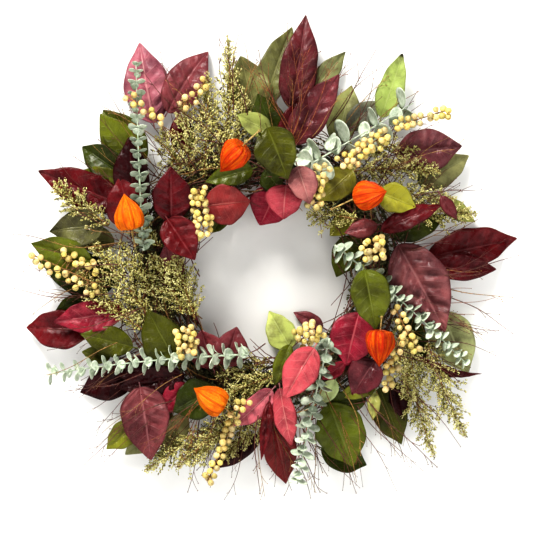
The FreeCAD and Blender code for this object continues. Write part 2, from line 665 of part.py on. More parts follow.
def lay_middle_leaves():
    leaf("green", (8, 158), (-8, 204), 36, lean=3)
    leaf("burgundy", (18, 148), (36, 196), 24, lean=4)
    leaf("burgundy", (28, 148), (84, 222), 40, lean=5, roll=-8)
    leaf("pale", (4, 160), (-34, 178), 27, lean=6, roll=8)
    leaf("green", (-16, 119), (-68, 102), 27, lean=4)
    leaf("rose", (-68, 77), (-18, 85), 46, lean=-4, roll=5)
    leaf("burgundy", (-146, 72), (-151, 154), 42, lean=6, roll=-8)
    leaf("burgundy", (-106, 58), (-107, 121), 44, lean=3, roll=6)
    leaf("burgundy", (-148, 50), (-164, 110), 46, lean=8)
    leaf("burgundy", (-110, 62), (-80, 16), 40, lean=3, roll=-5)
    leaf("green", (-176, -92), (-208, -87), 20, lean=2)
    leaf("green", (-150, -81), (-209, -68), 33, lean=2, roll=8)
    leaf("green", (-100, -100), (-132, -38), 48, lean=3, roll=-6)
    leaf("burgundy", (-60, -104), (-74, -62), 42, lean=-4, roll=-8)
    leaf("burgundy", (-46, -102), (-34, -58), 38, lean=-2, roll=8)
    leaf("green", (-58, -128), (-105, -151), 46, lean=-3)
    leaf("rose", (-142, -126), (-126, -207), 55, lean=-1, roll=6)
    leaf("green", (112, -140), (62, -146), 26, lean=-3)
    leaf("green", (70, -144), (96, -216), 56, lean=-3, roll=-6)
    leaf("green", (126, -122), (80, -139), 20, lean=3)
    leaf("green", (122, -132), (117, -163), 15, lean=2)
    leaf("pale", (77, -118), (62, -146), 20, lean=3)
    leaf("green", (26, -78), (8, -123), 20, lean=2)
    leaf("rose", (88, -98), (62, -118), 16, lean=2)
    leaf("burgundy", (122, -96), (96, -135), 40, lean=2, roll=8)
    leaf("burgundy", (124, 56), (87, 46), 22, lean=1, roll=10)
    leaf("burgundy", (128, 50), (196, 79), 24, lean=2, roll=-10)
    leaf("burgundy", (194, 88), (211, 61), 15, lean=1)
    leaf("green", (126, 92), (166, 76), 34, lean=2, roll=6)
    leaf("green", (97, 117), (58, 82), 36, lean=1)
    leaf("burgundy", (148, 34), (203, -62), 64, lean=2, roll=6)
    leaf("rose", (6, -128), (-38, -169), 27, lean=1, roll=-10)
    leaf("rose", (15, -126), (27, -190), 27, lean=0, roll=10)
    leaf("burgundy", (3, -140), (-4, -206), 14, lean=-1)
    leaf("rose", (104, -42), (88, -102), 52, lean=3, roll=5)


def lay_front():
    """What lies on top: sprigs, berries, the nearest leaves and the lantern pods."""
    eucalyptus("left", (-130, 28), (-145, 236), lean=1, leaf_radius=6.5)
    eucalyptus("lower_left", (-20, -96), (-246, -107), lean=-2, leaf_radius=7.5)
    eucalyptus("bottom", (62, -70), (38, -232), lean=-4, leaf_radius=8.0)
    eucalyptus("right", (82, 38), (222, -102), lean=0, leaf_radius=7.5)
    eucalyptus("upper_right", (32, 126), (166, 186), lean=2, leaf_radius=10.0, spacing=12)
    berries("upper_left", (-112, 166), (-156, 200), 9, 3.5)
    berries("upper_left", (-96, 186), (-66, 218), 9, 4.6)
    berries("inner_left", (-76, 96), (-68, 42), 28, 7.5)
    berries("left", (-188, 6), (-230, 24), 8, 2.5)
    berries("left", (-190, -22), (-268, 22), 16, 3.3)
    berries("lower_left", (-93, -59), (-88, -89), 20, 9)
    berries("bottom", (-26, -138), (-66, -230), 25, 3.6)
    berries("inner_bottom", (59, -58), (34, -71), 18, 9)
    berries("right", (120, 42), (120, 16), 18, 9)
    berries("right_lower", (142, -36), (166, -84), 13, 3.8)
    berries("right_lower", (146, -66), (132, -128), 16, 4.0)
    berries("upper_right", (52, 76), (62, 122), 22, 7.5)
    berries("upper_right", (84, 122), (134, 158), 27, 7.2)
    berries("upper_right", (142, 164), (202, 184), 16, 4.2)
    leaf("green", (108, 6), (122, -60), 44, lean=-2, roll=-6)
    lantern(4, (126, -46), (125, -57), (122, -95))
    leaf("rose", (22, 100), (18, 62), 42, lean=-2, roll=8)
    leaf("rose", (34, 120), (47, 78), 33, lean=-1, roll=-10)
    leaf("green", (1, 162), (26, 106), 47, lean=-2, roll=5)
    leaf("rose", (52, -80), (17, -134), 39, lean=1, roll=-6)
    lantern(1, (-8, 158), (-24, 144), (-52, 114), lean=-22)
    lantern(2, (72, 73), (100, 86), (134, 93), lean=42)
    lantern(3, (-144, 32), (-147, 47), (-155, 89))
    lantern(5, (-34, -158), (-44, -148), (-79, -126))


def write_parts():
    os.makedirs("parts", exist_ok=True)
    for name, shapes in sorted(nodes.items()):
        solids = [solid for shape in shapes for solid in shape.Solids]
        group = solids[0] if len(solids) == 1 else Part.makeCompound(solids)
        group.exportStep(f"parts/{name}.step")
    print(len(nodes), "nodes")
    for number, hinge, direction in sorted(lanterns, key=lambda found: found[0]):
        axis = Vector(direction.z, 0, -direction.x)
        print("lantern", number, [round(c / 1000, 5) for c in hinge], [round(c, 4) for c in axis])


make_frame()
make_canes()
make_binding()
make_hanging_loop()
start_pile()
lay_twigs()
lay_back_leaves()
lay_plumes()
lay_middle_leaves()
lay_front()
make_picks()
write_parts()
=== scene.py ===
"""The looks of the harvest door wreath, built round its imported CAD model."""
import json
import math
import bmesh
import bpy
import numpy as np
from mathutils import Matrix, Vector
from mathutils.bvhtree import BVHTree


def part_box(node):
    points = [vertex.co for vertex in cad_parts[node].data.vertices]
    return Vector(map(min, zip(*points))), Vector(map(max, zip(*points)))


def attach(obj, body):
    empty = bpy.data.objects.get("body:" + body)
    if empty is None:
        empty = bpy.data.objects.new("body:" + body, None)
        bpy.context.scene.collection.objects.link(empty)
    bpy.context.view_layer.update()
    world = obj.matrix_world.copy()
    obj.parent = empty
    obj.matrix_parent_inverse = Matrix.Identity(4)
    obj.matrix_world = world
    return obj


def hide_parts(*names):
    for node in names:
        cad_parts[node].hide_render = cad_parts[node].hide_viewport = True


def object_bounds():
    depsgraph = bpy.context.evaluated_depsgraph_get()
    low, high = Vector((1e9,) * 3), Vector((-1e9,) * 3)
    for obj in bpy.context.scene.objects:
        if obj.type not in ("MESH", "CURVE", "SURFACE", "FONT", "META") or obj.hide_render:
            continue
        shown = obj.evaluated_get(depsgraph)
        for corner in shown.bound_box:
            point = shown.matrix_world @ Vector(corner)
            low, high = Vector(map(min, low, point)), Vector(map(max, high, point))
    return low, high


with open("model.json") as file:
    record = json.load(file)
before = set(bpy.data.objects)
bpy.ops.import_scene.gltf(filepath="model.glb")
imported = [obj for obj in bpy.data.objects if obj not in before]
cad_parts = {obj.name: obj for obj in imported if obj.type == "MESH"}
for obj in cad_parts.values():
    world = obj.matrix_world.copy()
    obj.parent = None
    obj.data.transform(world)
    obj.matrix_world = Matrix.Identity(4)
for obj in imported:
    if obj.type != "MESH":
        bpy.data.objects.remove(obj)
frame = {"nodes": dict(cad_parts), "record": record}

MM = 0.001
CAD_BOX = [list(corner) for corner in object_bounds()]
ROOT = "wreath"
DOOR_FACE = CAD_BOX[1][1]  # nothing reaches farther back than this
VIEWER = np.array([0.0, -1.0, 0.0])
GOLDEN = math.radians(137.5)

# --- Sizes that the CAD model shares ---
PETIOLE_LENGTH = 6 * MM
LEAF_BEND = 2.6            # radius of a leaf's droop, in leaf lengths

RING_LOW, RING_HIGH = (np.array(corner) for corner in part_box("vine_cane_2"))
RING_CENTRE = (RING_LOW + RING_HIGH) / 2


def unit(vector):
    return vector / np.linalg.norm(vector)


def axes_across(along):
    """The two directions across a run: sideways, and towards the viewer."""
    across = unit(np.cross(along, VIEWER))
    return across, np.cross(across, along)


def smooth(low, high, value):
    """0 below low, 1 above high, and a smooth rise between."""
    share = np.clip((value - low) / (high - low), 0, 1)
    return share * share * (3 - 2 * share)


def circle(count):
    """Evenly spaced angles round a circle."""
    return np.linspace(0, 2 * math.pi, count, endpoint=False)


# --- Meshes ---

class Pieces:
    """The points, faces and per-point values of many small pieces that make one object."""

    def __init__(self):
        self.points, self.faces, self.values, self.count = [], [], {}, 0

    def add(self, points, faces, **values):
        points = np.asarray(points, float).reshape(-1, 3)
        self.points.append(points)
        self.faces.extend([[i + self.count for i in face] for face in faces])
        for name, value in values.items():
            value = np.asarray(value, float)
            shape = (len(points), 3) if value.shape[-1:] == (3,) else (len(points),)
            self.values.setdefault(name, []).append(np.broadcast_to(value, shape))
        self.count += len(points)

    def add_tube(self, path, radii, sides, **values):
        points, faces = tube(path, radii, sides)
        self.add(points, faces, **values)

    def make(self, name, material, slot, body=ROOT, replaces=()):
        mesh = bpy.data.meshes.new(name)
        mesh.from_pydata(np.concatenate(self.points).tolist(), [], self.faces)
        mesh.polygons.foreach_set("use_smooth", [True] * len(mesh.polygons))
        for key, parts in self.values.items():
            value = np.concatenate(parts)
            if value.ndim == 2:
                layer = mesh.attributes.new(key, "FLOAT_COLOR", "POINT")
                layer.data.foreach_set("color", np.c_[value, np.ones(len(value))].ravel())
            else:
                layer = mesh.attributes.new(key, "FLOAT", "POINT")
                layer.data.foreach_set("value", value)
        mesh.materials.append(material)
        mesh.update()
        piece = bpy.data.objects.new(name, mesh)
        bpy.context.collection.objects.link(piece)
        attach(piece, body)
        if replaces:
            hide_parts(*replaces)
        return piece


def grid_faces(rows, columns, flip=False):
    """The quads of a grid of points, given row by row."""
    first = (np.arange(rows - 1)[:, None] * columns + np.arange(columns - 1)[None, :]).ravel()
    faces = np.stack([first, first + 1, first + columns + 1, first + columns], -1)
    return (faces[:, ::-1] if flip else faces).tolist()


def shell_faces(rows, columns):
    """A thin closed sheet: one grid, the same grid again as its back, and the rim between."""
    size = rows * columns
    front = grid_faces(rows, columns)
    back = [[i + size for i in face] for face in grid_faces(rows, columns, flip=True)]
    top = list(range(columns))
    right = [row * columns + columns - 1 for row in range(1, rows)]
    bottom = [(rows - 1) * columns + k for k in range(columns - 2, -1, -1)]
    left = [row * columns for row in range(rows - 2, 0, -1)]
    loop = top + right + bottom + left
    rim = [[b, a, a + size, b + size] for a, b in zip(loop, loop[1:] + loop[:1])]
    return front + back + rim


def ring_faces(rows, sides, flip=False, joined=False):
    """The quads between rings of points, with the last ring joined to the first or both ends capped."""
    faces = []
    for row in range(rows if joined else rows - 1):
        below, above = row * sides, (row + 1) % rows * sides
        for k in range(sides):
            after = (k + 1) % sides
            quad = [below + k, below + after, above + after, above + k]
            faces.append([quad[0], quad[3], quad[2], quad[1]] if flip else quad)
    if not joined:
        caps = [list(range(sides))[::-1], list(range((rows - 1) * sides, rows * sides))]
        faces += [cap[::-1] if flip else cap for cap in caps]
    return faces


def tube(path, radii, sides):
    """A round closed tube along a path, with one radius for each point."""
    path = np.asarray(path, float)
    radii = np.broadcast_to(radii, len(path))
    heading = np.gradient(path, axis=0)
    side = np.cross(heading[0], [0.3, 0.5, 0.8])
    rings = []
    turns = circle(sides)
    for point, ahead, radius in zip(path, heading, radii):
        ahead = unit(ahead)
        side = unit(side - ahead * side.dot(ahead))
        up = np.cross(ahead, side)
        rings.append(point + radius * (np.outer(np.cos(turns), side) + np.outer(np.sin(turns), up)))
    return np.concatenate(rings), ring_faces(len(path), sides)


def ball(subdivisions):
    """The points and faces of a unit sphere of triangles."""
    mesh = bmesh.new()
    bmesh.ops.create_icosphere(mesh, subdivisions=subdivisions, radius=1)
    points = np.array([vert.co[:] for vert in mesh.verts])
    faces = [[vert.index for vert in face.verts] for face in mesh.faces]
    mesh.free()
    return points, faces


BUD = ball(1)
BERRY = ball(3)
GRAIN_POINTS = np.array([(1, 0, 0), (0, 1, 0), (0, 0, 1), (-1, 0, 0), (0, -1, 0), (0, 0, -1)], float)
GRAIN_FACES = np.array([(0, 1, 2), (1, 3, 2), (3, 4, 2), (4, 0, 2),
                        (1, 0, 5), (3, 1, 5), (4, 3, 5), (0, 4, 5)])


def scatter(pieces, spots, headings, sizes, stretch, **values):
    """Many small grains, each drawn out along its own heading."""
    ahead = (headings @ GRAIN_POINTS.T)[..., None] * headings[:, None]
    offsets = sizes[:, None, None] * (GRAIN_POINTS[None] + (stretch - 1) * ahead)
    firsts = len(GRAIN_POINTS) * np.arange(len(spots))[:, None, None]
    faces = (GRAIN_FACES[None] + firsts).reshape(-1, 3)
    spread = {name: np.repeat(value, len(GRAIN_POINTS), axis=0) for name, value in values.items()}
    pieces.add((spots[:, None] + offsets).reshape(-1, 3), faces.tolist(), **spread)


def bezier(start, control, end, count):
    """Points along a curve that bends towards its control point."""
    t = np.linspace(0, 1, count)[:, None]
    return (1 - t) ** 2 * start + 2 * t * (1 - t) * control + t * t * end


# --- Reading the CAD solids ---

def solids_of(node):
    """The points and edges of each separate solid of a CAD node."""
    mesh = frame["nodes"][node].data
    points = np.empty(len(mesh.vertices) * 3)
    mesh.vertices.foreach_get("co", points)
    edges = np.empty(len(mesh.edges) * 2, int)
    mesh.edges.foreach_get("vertices", edges)
    points, welded = np.unique(points.reshape(-1, 3).round(6), axis=0, return_inverse=True)
    edges = welded.ravel()[edges].reshape(-1, 2)
    label = np.arange(len(points))
    while True:
        lowest = label.copy()
        np.minimum.at(lowest, edges[:, 0], label[edges[:, 1]])
        np.minimum.at(lowest, edges[:, 1], label[edges[:, 0]])
        lowest = lowest[lowest]
        if (lowest == label).all():
            break
        label = lowest
    found = []
    for root in np.unique(label):
        inside = label == root
        place = np.cumsum(inside) - 1
        found.append((points[inside], place[edges[inside[edges[:, 0]]]]))
    return found


def far_ends(points):
    """The two points that are farthest apart, or nearly so."""
    first = points.mean(0)
    for _ in range(4):
        first, second = points[np.linalg.norm(points - first, axis=1).argmax()], first
    return first, second


def section(points, edges, end, along, inset):
    """The points where a solid's edges cross the plane that lies inset from one end."""
    start, finish = points[edges[:, 0]], points[edges[:, 1]]
    a, b = (start - end) @ along - inset, (finish - end) @ along - inset
    crossing = a * b < 0
    share = (a / np.where(crossing, a - b, 1))[crossing, None]
    return start[crossing] + share * (finish - start)[crossing]


def girth(points, edges, end, along, inset):
    """How wide a solid is across that plane."""
    cut = section(points, edges, end, along, inset)
    return np.ptp(cut, axis=0).max() if len(cut) else 0.0


def long_axis(points, edges, inset, narrow_start=True):
    """A long solid's two ends, ordered by which is narrower a little way in."""
    first, second = far_ends(points)
    along = unit(second - first)
    swap = girth(points, edges, first, along, inset) > girth(points, edges, second, -along, inset)
    if swap == narrow_start:
        first, second = second, first
    return first, second


def leaf_frames(node):
    """Each leaf of a node: base, tip, face normal and width, sorted clockwise round the ring."""
    found = []
    for points, edges in solids_of(node):
        stub, tip = long_axis(points, edges, 3.5 * MM)
        along = unit(tip - stub)
        flat = (points - stub) - np.outer((points - stub) @ along, along)
        across = np.linalg.svd(flat, full_matrices=False)[2][0]
        normal = np.cross(along, across)
        normal *= np.sign(normal @ VIEWER)
        base = stub + PETIOLE_LENGTH * unit(along + 0.19 * normal)
        width = np.ptp(points @ across)
        middle = (base + tip) / 2 - RING_CENTRE
        found.append({"stub": stub, "base": base, "tip": tip, "normal": normal, "width": width,
                      "angle": math.degrees(math.atan2(middle[0], middle[2])) % 360})
    return sorted(found, key=lambda leaf: leaf["angle"])


# --- Materials ---

class Look:
    """A material, with short ways to make and wire its nodes."""

    def __init__(self, name, color, roughness, specular=0.5):
        self.made = bpy.data.materials.new(name)
        self.made.use_nodes = True
        self.tree = self.made.node_tree
        self.shader = self.tree.nodes["Principled BSDF"]
        self.feed("Base Color", (*color, 1))
        self.feed("Roughness", roughness)
        self.feed("Specular IOR Level", specular)

    def set_input(self, socket, value):
        """Gives a socket a fixed value, or another node's output."""
        if isinstance(value, bpy.types.NodeSocket):
            self.tree.links.new(value, socket)
        else:
            socket.default_value = value

    def feed(self, name, value):
        self.set_input(self.shader.inputs[name], value)

    def node(self, kind, inputs=None, **settings):
        made = self.tree.nodes.new(kind)
        for name, value in settings.items():
            setattr(made, name, value)
        for name, value in (inputs or {}).items():
            self.set_input(made.inputs[name], value)
        return made

    def calc(self, operation, *values):
        return self.node("ShaderNodeMath", dict(enumerate(values)), operation=operation).outputs[0]

    def times(self, first, second):
        return self.calc("MULTIPLY", first, second)

    def step(self, value, low, high, start=0.0, end=1.0):
        """A smooth rise from start to end as value goes from low to high."""
        inputs = {0: value, 1: low, 2: high, 3: start, 4: end}
        return self.node("ShaderNodeMapRange", inputs, interpolation_type="SMOOTHSTEP").outputs[0]

    def mix(self, share, first, second, blend="MIX"):
        colors = [c if isinstance(c, bpy.types.NodeSocket) else (*c, 1) for c in (first, second)]
        inputs = {0: share, 6: colors[0], 7: colors[1]}
        return self.node("ShaderNodeMix", inputs, data_type="RGBA", blend_type=blend).outputs[2]

    def dimmed(self, color, by):
        return self.mix(1.0, color, by, "MULTIPLY")

    def value_of(self, name):
        return self.node("ShaderNodeAttribute", attribute_name=name).outputs["Fac"]

    def color_of(self, name):
        return self.node("ShaderNodeAttribute", attribute_name=name).outputs["Color"]

    def place(self):
        return self.node("ShaderNodeTexCoord").outputs["Object"]

    def noise(self, scale, detail=3.0):
        inputs = {"Vector": self.place(), "Scale": scale, "Detail": detail, "Roughness": 0.6}
        return self.node("ShaderNodeTexNoise", inputs).outputs["Fac"]

    def cell_net(self, place, scale, low, high):
        """A net of fine lines between irregular cells."""
        inputs = {"Vector": place, "Scale": scale}
        net = self.node("ShaderNodeTexVoronoi", inputs, feature="DISTANCE_TO_EDGE")
        return self.step(net.outputs["Distance"], low, high, 1.0, 0.0)

    def bump(self, height, distance, strength=1.0):
        inputs = {"Height": height, "Distance": distance, "Strength": strength}
        self.feed("Normal", self.node("ShaderNodeBump", inputs).outputs[0])


def leaf_material(name, roughness, vein_strength):
    """A preserved leaf: midrib, side veins and a fine net between, with worn and mottled colour."""
    look = Look(name, (0.3, 0.2, 0.2), roughness, specular=0.2)
    across = look.calc("ABSOLUTE", look.value_of("leaf_v"))
    midrib = look.step(across, 0.015, 0.06, 1.0, 0.0)
    phase = look.calc("FRACT", look.value_of("leaf_veins"))
    from_vein = look.calc("ABSOLUTE", look.calc("SUBTRACT", phase, 0.5))
    side_vein = look.step(from_vein, 0.445, 0.495)
    side_vein = look.times(side_vein, look.step(across, 0.55, 0.95, 1.0, 0.1))
    net = look.cell_net(look.place(), 380.0, 0.02, 0.16)
    veins = look.calc("MAXIMUM", midrib, look.times(side_vein, 0.6))
    veins = look.calc("MAXIMUM", veins, look.times(net, 0.16))
    shade = look.noise(30.0, 5.0)
    tone = look.color_of("leaf_tone")
    dark = look.dimmed(tone, (0.45, 0.42, 0.46))
    mottled = look.mix(look.step(shade, 0.40, 0.66), tone, dark)
    light = look.mix(0.4, tone, look.color_of("leaf_rib"))
    mottled = look.mix(look.step(look.noise(75.0, 4.0), 0.52, 0.76, 0.0, 0.5), mottled, light)
    speck = look.step(look.noise(420.0, 2.0), 0.66, 0.74, 0.0, 0.6)
    mottled = look.mix(speck, mottled, dark)
    edge = look.step(across, 0.84, 1.0, 0.0, 0.5)
    mottled = look.mix(edge, mottled, dark)
    color = look.mix(look.times(veins, vein_strength), mottled, look.color_of("leaf_rib"))
    look.feed("Base Color", color)
    rough = look.step(look.noise(120.0, 3.0), 0.3, 0.7, roughness - 0.10, roughness + 0.14)
    look.feed("Roughness", rough)
    relief = look.calc("ADD", look.times(veins, -0.7), look.times(shade, 0.4))
    relief = look.calc("ADD", relief, look.times(look.noise(260.0, 2.0), 0.3))
    look.bump(relief, 0.0012, 0.7)
    return look.made


def powder_material():
    """Eucalyptus: a pale powdery bloom over grey-green, thinner where it was handled."""
    look = Look("eucalyptus_bloom", (0.5, 0.55, 0.48), 0.7, specular=0.3)
    tone = look.color_of("leaf_tone")
    rubbed = look.dimmed(tone, (0.66, 0.72, 0.64))
    color = look.mix(look.step(look.noise(190.0, 4.0), 0.38, 0.66), tone, rubbed)
    across = look.calc("ABSOLUTE", look.value_of("leaf_v"))
    color = look.mix(look.step(across, 0.03, 0.12, 0.45, 0.0), color, look.color_of("leaf_rib"))
    look.feed("Base Color", color)
    look.bump(look.noise(700.0, 2.0), 0.0003, 0.5)
    return look.made


def bud_material():
    look = Look("artemisia_buds", (0.5, 0.5, 0.2), 0.8, specular=0.2)
    tone = look.color_of("bud_tone")
    dark = look.dimmed(tone, (0.55, 0.5, 0.42))
    color = look.mix(look.step(look.noise(700.0, 3.0), 0.42, 0.62), tone, dark)
    look.feed("Base Color", color)
    look.bump(look.noise(2200.0, 2.0), 0.0004, 0.8)
    return look.made


def berry_material():
    """Canella: matt cream, a little mottled, with a darker scar at the far end."""
    look = Look("canella_berry", (0.8, 0.7, 0.42), 0.55)
    tone = look.color_of("berry_tone")
    dull = look.dimmed(tone, (0.72, 0.66, 0.5))
    color = look.mix(look.step(look.noise(420.0, 4.0), 0.45, 0.7), tone, dull)
    scar = look.step(look.value_of("berry_end"), 0.955, 0.985, 0.0, 0.85)
    color = look.mix(scar, color, (0.10, 0.055, 0.025))
    look.feed("Base Color", color)
    look.bump(look.noise(1500.0, 2.0), 0.0002, 0.5)
    return look.made


def husk_material():
    """A dry physalis husk: papery orange, streaked along its length, with ribs and a net of veins."""
    look = Look("lantern_paper", (0.85, 0.25, 0.03), 0.5, specular=0.2)
    place = look.place()
    warp = look.node("ShaderNodeTexNoise", {"Vector": place, "Scale": 240.0, "Detail": 2.0})
    shifted = look.node("ShaderNodeVectorMath", {0: warp.outputs["Color"], 3: 0.003}, operation="SCALE")
    moved = look.node("ShaderNodeVectorMath", {0: place, 1: shifted.outputs[0]}, operation="ADD").outputs[0]
    net = look.cell_net(moved, 330.0, 0.01, 0.10)
    rib = look.step(look.value_of("husk_rib"), 0.88, 0.99)
    sides = {"X": look.value_of("husk_turn"), "Y": look.value_of("husk_share")}
    around = look.node("ShaderNodeCombineXYZ", sides).outputs[0]
    streak = look.node("ShaderNodeTexNoise", {"Vector": around, "Scale": 1.0, "Detail": 3.0})
    streak = look.step(streak.outputs["Fac"], 0.40, 0.60)
    veins = look.calc("MAXIMUM", look.times(net, 0.4), rib)
    tone = look.color_of("husk_tone")
    dark = look.dimmed(tone, (0.60, 0.34, 0.25))
    glow = look.mix(0.28, tone, (0.95, 0.44, 0.02))
    color = look.mix(streak, glow, tone)
    color = look.mix(look.step(look.noise(60.0, 3.0), 0.42, 0.70, 0.0, 0.6), color, dark)
    color = look.mix(look.times(veins, 0.75), color, dark)
    look.feed("Base Color", color)
    relief = look.calc("ADD", veins, look.times(streak, 0.8))
    look.bump(relief, 0.0011, 0.8)
    look.feed("Subsurface Weight", 0.2)
    look.feed("Subsurface Radius", (0.008, 0.002, 0.0005))
    return look.made


def bark_material(name, color, scale, roughness=0.8):
    look = Look(name, color, roughness)
    grain = look.noise(scale, 5.0)
    dark = tuple(part * 0.35 for part in color)
    pale = tuple(min(part * 1.6, 1.0) for part in color)
    shade = look.mix(look.step(grain, 0.35, 0.6), dark, color)
    shade = look.mix(look.step(look.noise(scale * 0.35, 3.0), 0.55, 0.75), shade, pale)
    look.feed("Base Color", shade)
    look.bump(grain, 0.0006, 0.9)
    return look.made


def lacquer_material(name, color):
    """Green florist's wire: thin lacquer that has worn to the steel here and there."""
    look = Look(name, color, 0.4)
    worn = look.step(look.noise(240.0, 4.0), 0.62, 0.72)
    shade = look.mix(worn, color, (0.30, 0.29, 0.27))
    look.feed("Base Color", shade)
    look.feed("Metallic", look.times(worn, 0.8))
    rough = look.step(look.noise(500.0, 2.0), 0.3, 0.7, 0.32, 0.5)
    look.feed("Roughness", rough)
    look.bump(look.noise(800.0, 2.0), 0.0001, 0.4)
    return look.made


MATERIALS = {
    "burgundy_leaf": leaf_material("burgundy_satin", 0.28, 0.32),
    "rose_leaf": leaf_material("rose_satin", 0.36, 0.5),
    "green_leaf": leaf_material("green_satin", 0.28, 0.35),
    "pale_leaf": leaf_material("pale_satin", 0.46, 0.35),
    "eucalyptus": powder_material(),
    "artemisia": bud_material(),
    "canella": berry_material(),
    "lantern_husk": husk_material(),
    "lantern_stalk": bark_material("dry_stalk", (0.42, 0.30, 0.11), 300.0),
    "vine_cane": bark_material("vine_bark", (0.17, 0.105, 0.06), 240.0),
    "twig": bark_material("red_twig", (0.14, 0.045, 0.03), 500.0, 0.6),
    "rust_twig": bark_material("rust_twig", (0.30, 0.10, 0.035), 500.0, 0.6),
    "stem": bark_material("tan_stem", (0.36, 0.20, 0.07), 500.0, 0.65),
    # Dark moss under the foliage: its colour is partly painted shade for the gaps between the leaves.
    "moss": bark_material("dark_moss_and_painted_shade", (0.115, 0.110, 0.045), 700.0, 0.85),
    "frame_wire": lacquer_material("frame_lacquer", (0.030, 0.045, 0.028)),
    "binding_wire": lacquer_material("binding_lacquer", (0.035, 0.055, 0.03)),
    "loop_wire": lacquer_material("loop_lacquer", (0.030, 0.045, 0.028)),
    "pick_wire": lacquer_material("pick_lacquer", (0.045, 0.06, 0.03)),
}


# --- Leaves ---

# Each tint is the blade's colour and the colour of its veins, as linear values.
TINTS = {
    "wine": ((0.125, 0.010, 0.014), (0.27, 0.075, 0.080)),
    "deep": ((0.040, 0.005, 0.007), (0.12, 0.030, 0.032)),
    "plum": ((0.155, 0.034, 0.040), (0.30, 0.120, 0.125)),
    "mauve": ((0.215, 0.056, 0.064), (0.38, 0.170, 0.175)),
    "ash": ((0.230, 0.078, 0.082), (0.38, 0.190, 0.190)),
    "blush": ((0.340, 0.110, 0.130), (0.54, 0.290, 0.280)),
    "dusty": ((0.440, 0.170, 0.165), (0.64, 0.390, 0.350)),
    "crimson": ((0.300, 0.020, 0.044), (0.52, 0.160, 0.170)),
    "raspberry": ((0.400, 0.060, 0.085), (0.62, 0.260, 0.250)),
    "coral": ((0.520, 0.085, 0.105), (0.70, 0.320, 0.290)),
    "pink": ((0.560, 0.150, 0.180), (0.74, 0.380, 0.360)),
    "rust": ((0.230, 0.033, 0.032), (0.42, 0.150, 0.130)),
    "olive": ((0.120, 0.138, 0.014), (0.25, 0.280, 0.070)),
    "fern": ((0.085, 0.095, 0.009), (0.20, 0.220, 0.050)),
    "forest": ((0.046, 0.058, 0.007), (0.13, 0.165, 0.045)),
    "gold": ((0.250, 0.245, 0.030), (0.41, 0.400, 0.110)),
    "sage": ((0.250, 0.260, 0.110), (0.38, 0.400, 0.220)),
    "stone": ((0.290, 0.290, 0.130), (0.43, 0.430, 0.240)),
    "silver": ((0.300, 0.320, 0.220), (0.44, 0.460, 0.330)),
    "khaki": ((0.170, 0.165, 0.064), (0.29, 0.285, 0.130)),
    "pea": ((0.360, 0.390, 0.120), (0.50, 0.530, 0.220)),
    "lime": ((0.320, 0.380, 0.115), (0.47, 0.520, 0.230)),
    "fresh": ((0.480, 0.560, 0.170), (0.60, 0.660, 0.300)),
    "mint": ((0.560, 0.620, 0.290), (0.70, 0.740, 0.420)),
}
# The tints of each group's leaves, clockwise round the ring from its top.
LEAF_TINTS = {
    "burgundy_leaves_upper_right": "plum wine plum ash mauve wine plum wine wine",
    "burgundy_leaves_lower_right": "ash wine deep plum mauve rust",
    "burgundy_leaves_lower_left": "wine deep plum plum deep deep deep plum wine",
    "burgundy_leaves_upper_left": "mauve wine wine wine deep wine wine mauve",
    "rose_leaves_upper_right": "crimson raspberry dusty",
    "rose_leaves_lower_right": "crimson crimson coral coral",
    "rose_leaves_lower_left": "pink crimson mauve crimson",
    "rose_leaves_upper_left": "blush rust",
    "green_leaves_upper_right": "forest khaki forest fern gold gold gold pea forest fern",
    "green_leaves_lower_right": "olive forest fern pea gold forest olive forest olive",
    "green_leaves_lower_left": "forest gold fern fern fern forest",
    "green_leaves_upper_left": "forest olive khaki olive forest olive fern olive fern",
    "pale_leaves_upper_right": "sage sage silver lime sage",
    "pale_leaves_lower_right": "mint mint fresh",
    "pale_leaves_lower_left": "stone sage",
    "pale_leaves_upper_left": "khaki khaki pea",
}
WITHERED = ("lime",)       # tints whose leaves have a brown tip
BROWN = np.array((0.030, 0.020, 0.008))
LEAF_THICKNESS = 0.45 * MM


def leaf_outline(t, fullness, base_power):
    """Half width along a leaf, as a share of its greatest, drawn in towards a pointed tip."""
    shape = np.sin(math.pi * np.clip(t, 0, 1) ** base_power).clip(0) ** fullness
    return shape * (1 - 0.34 * smooth(0.70, 1.0, t))


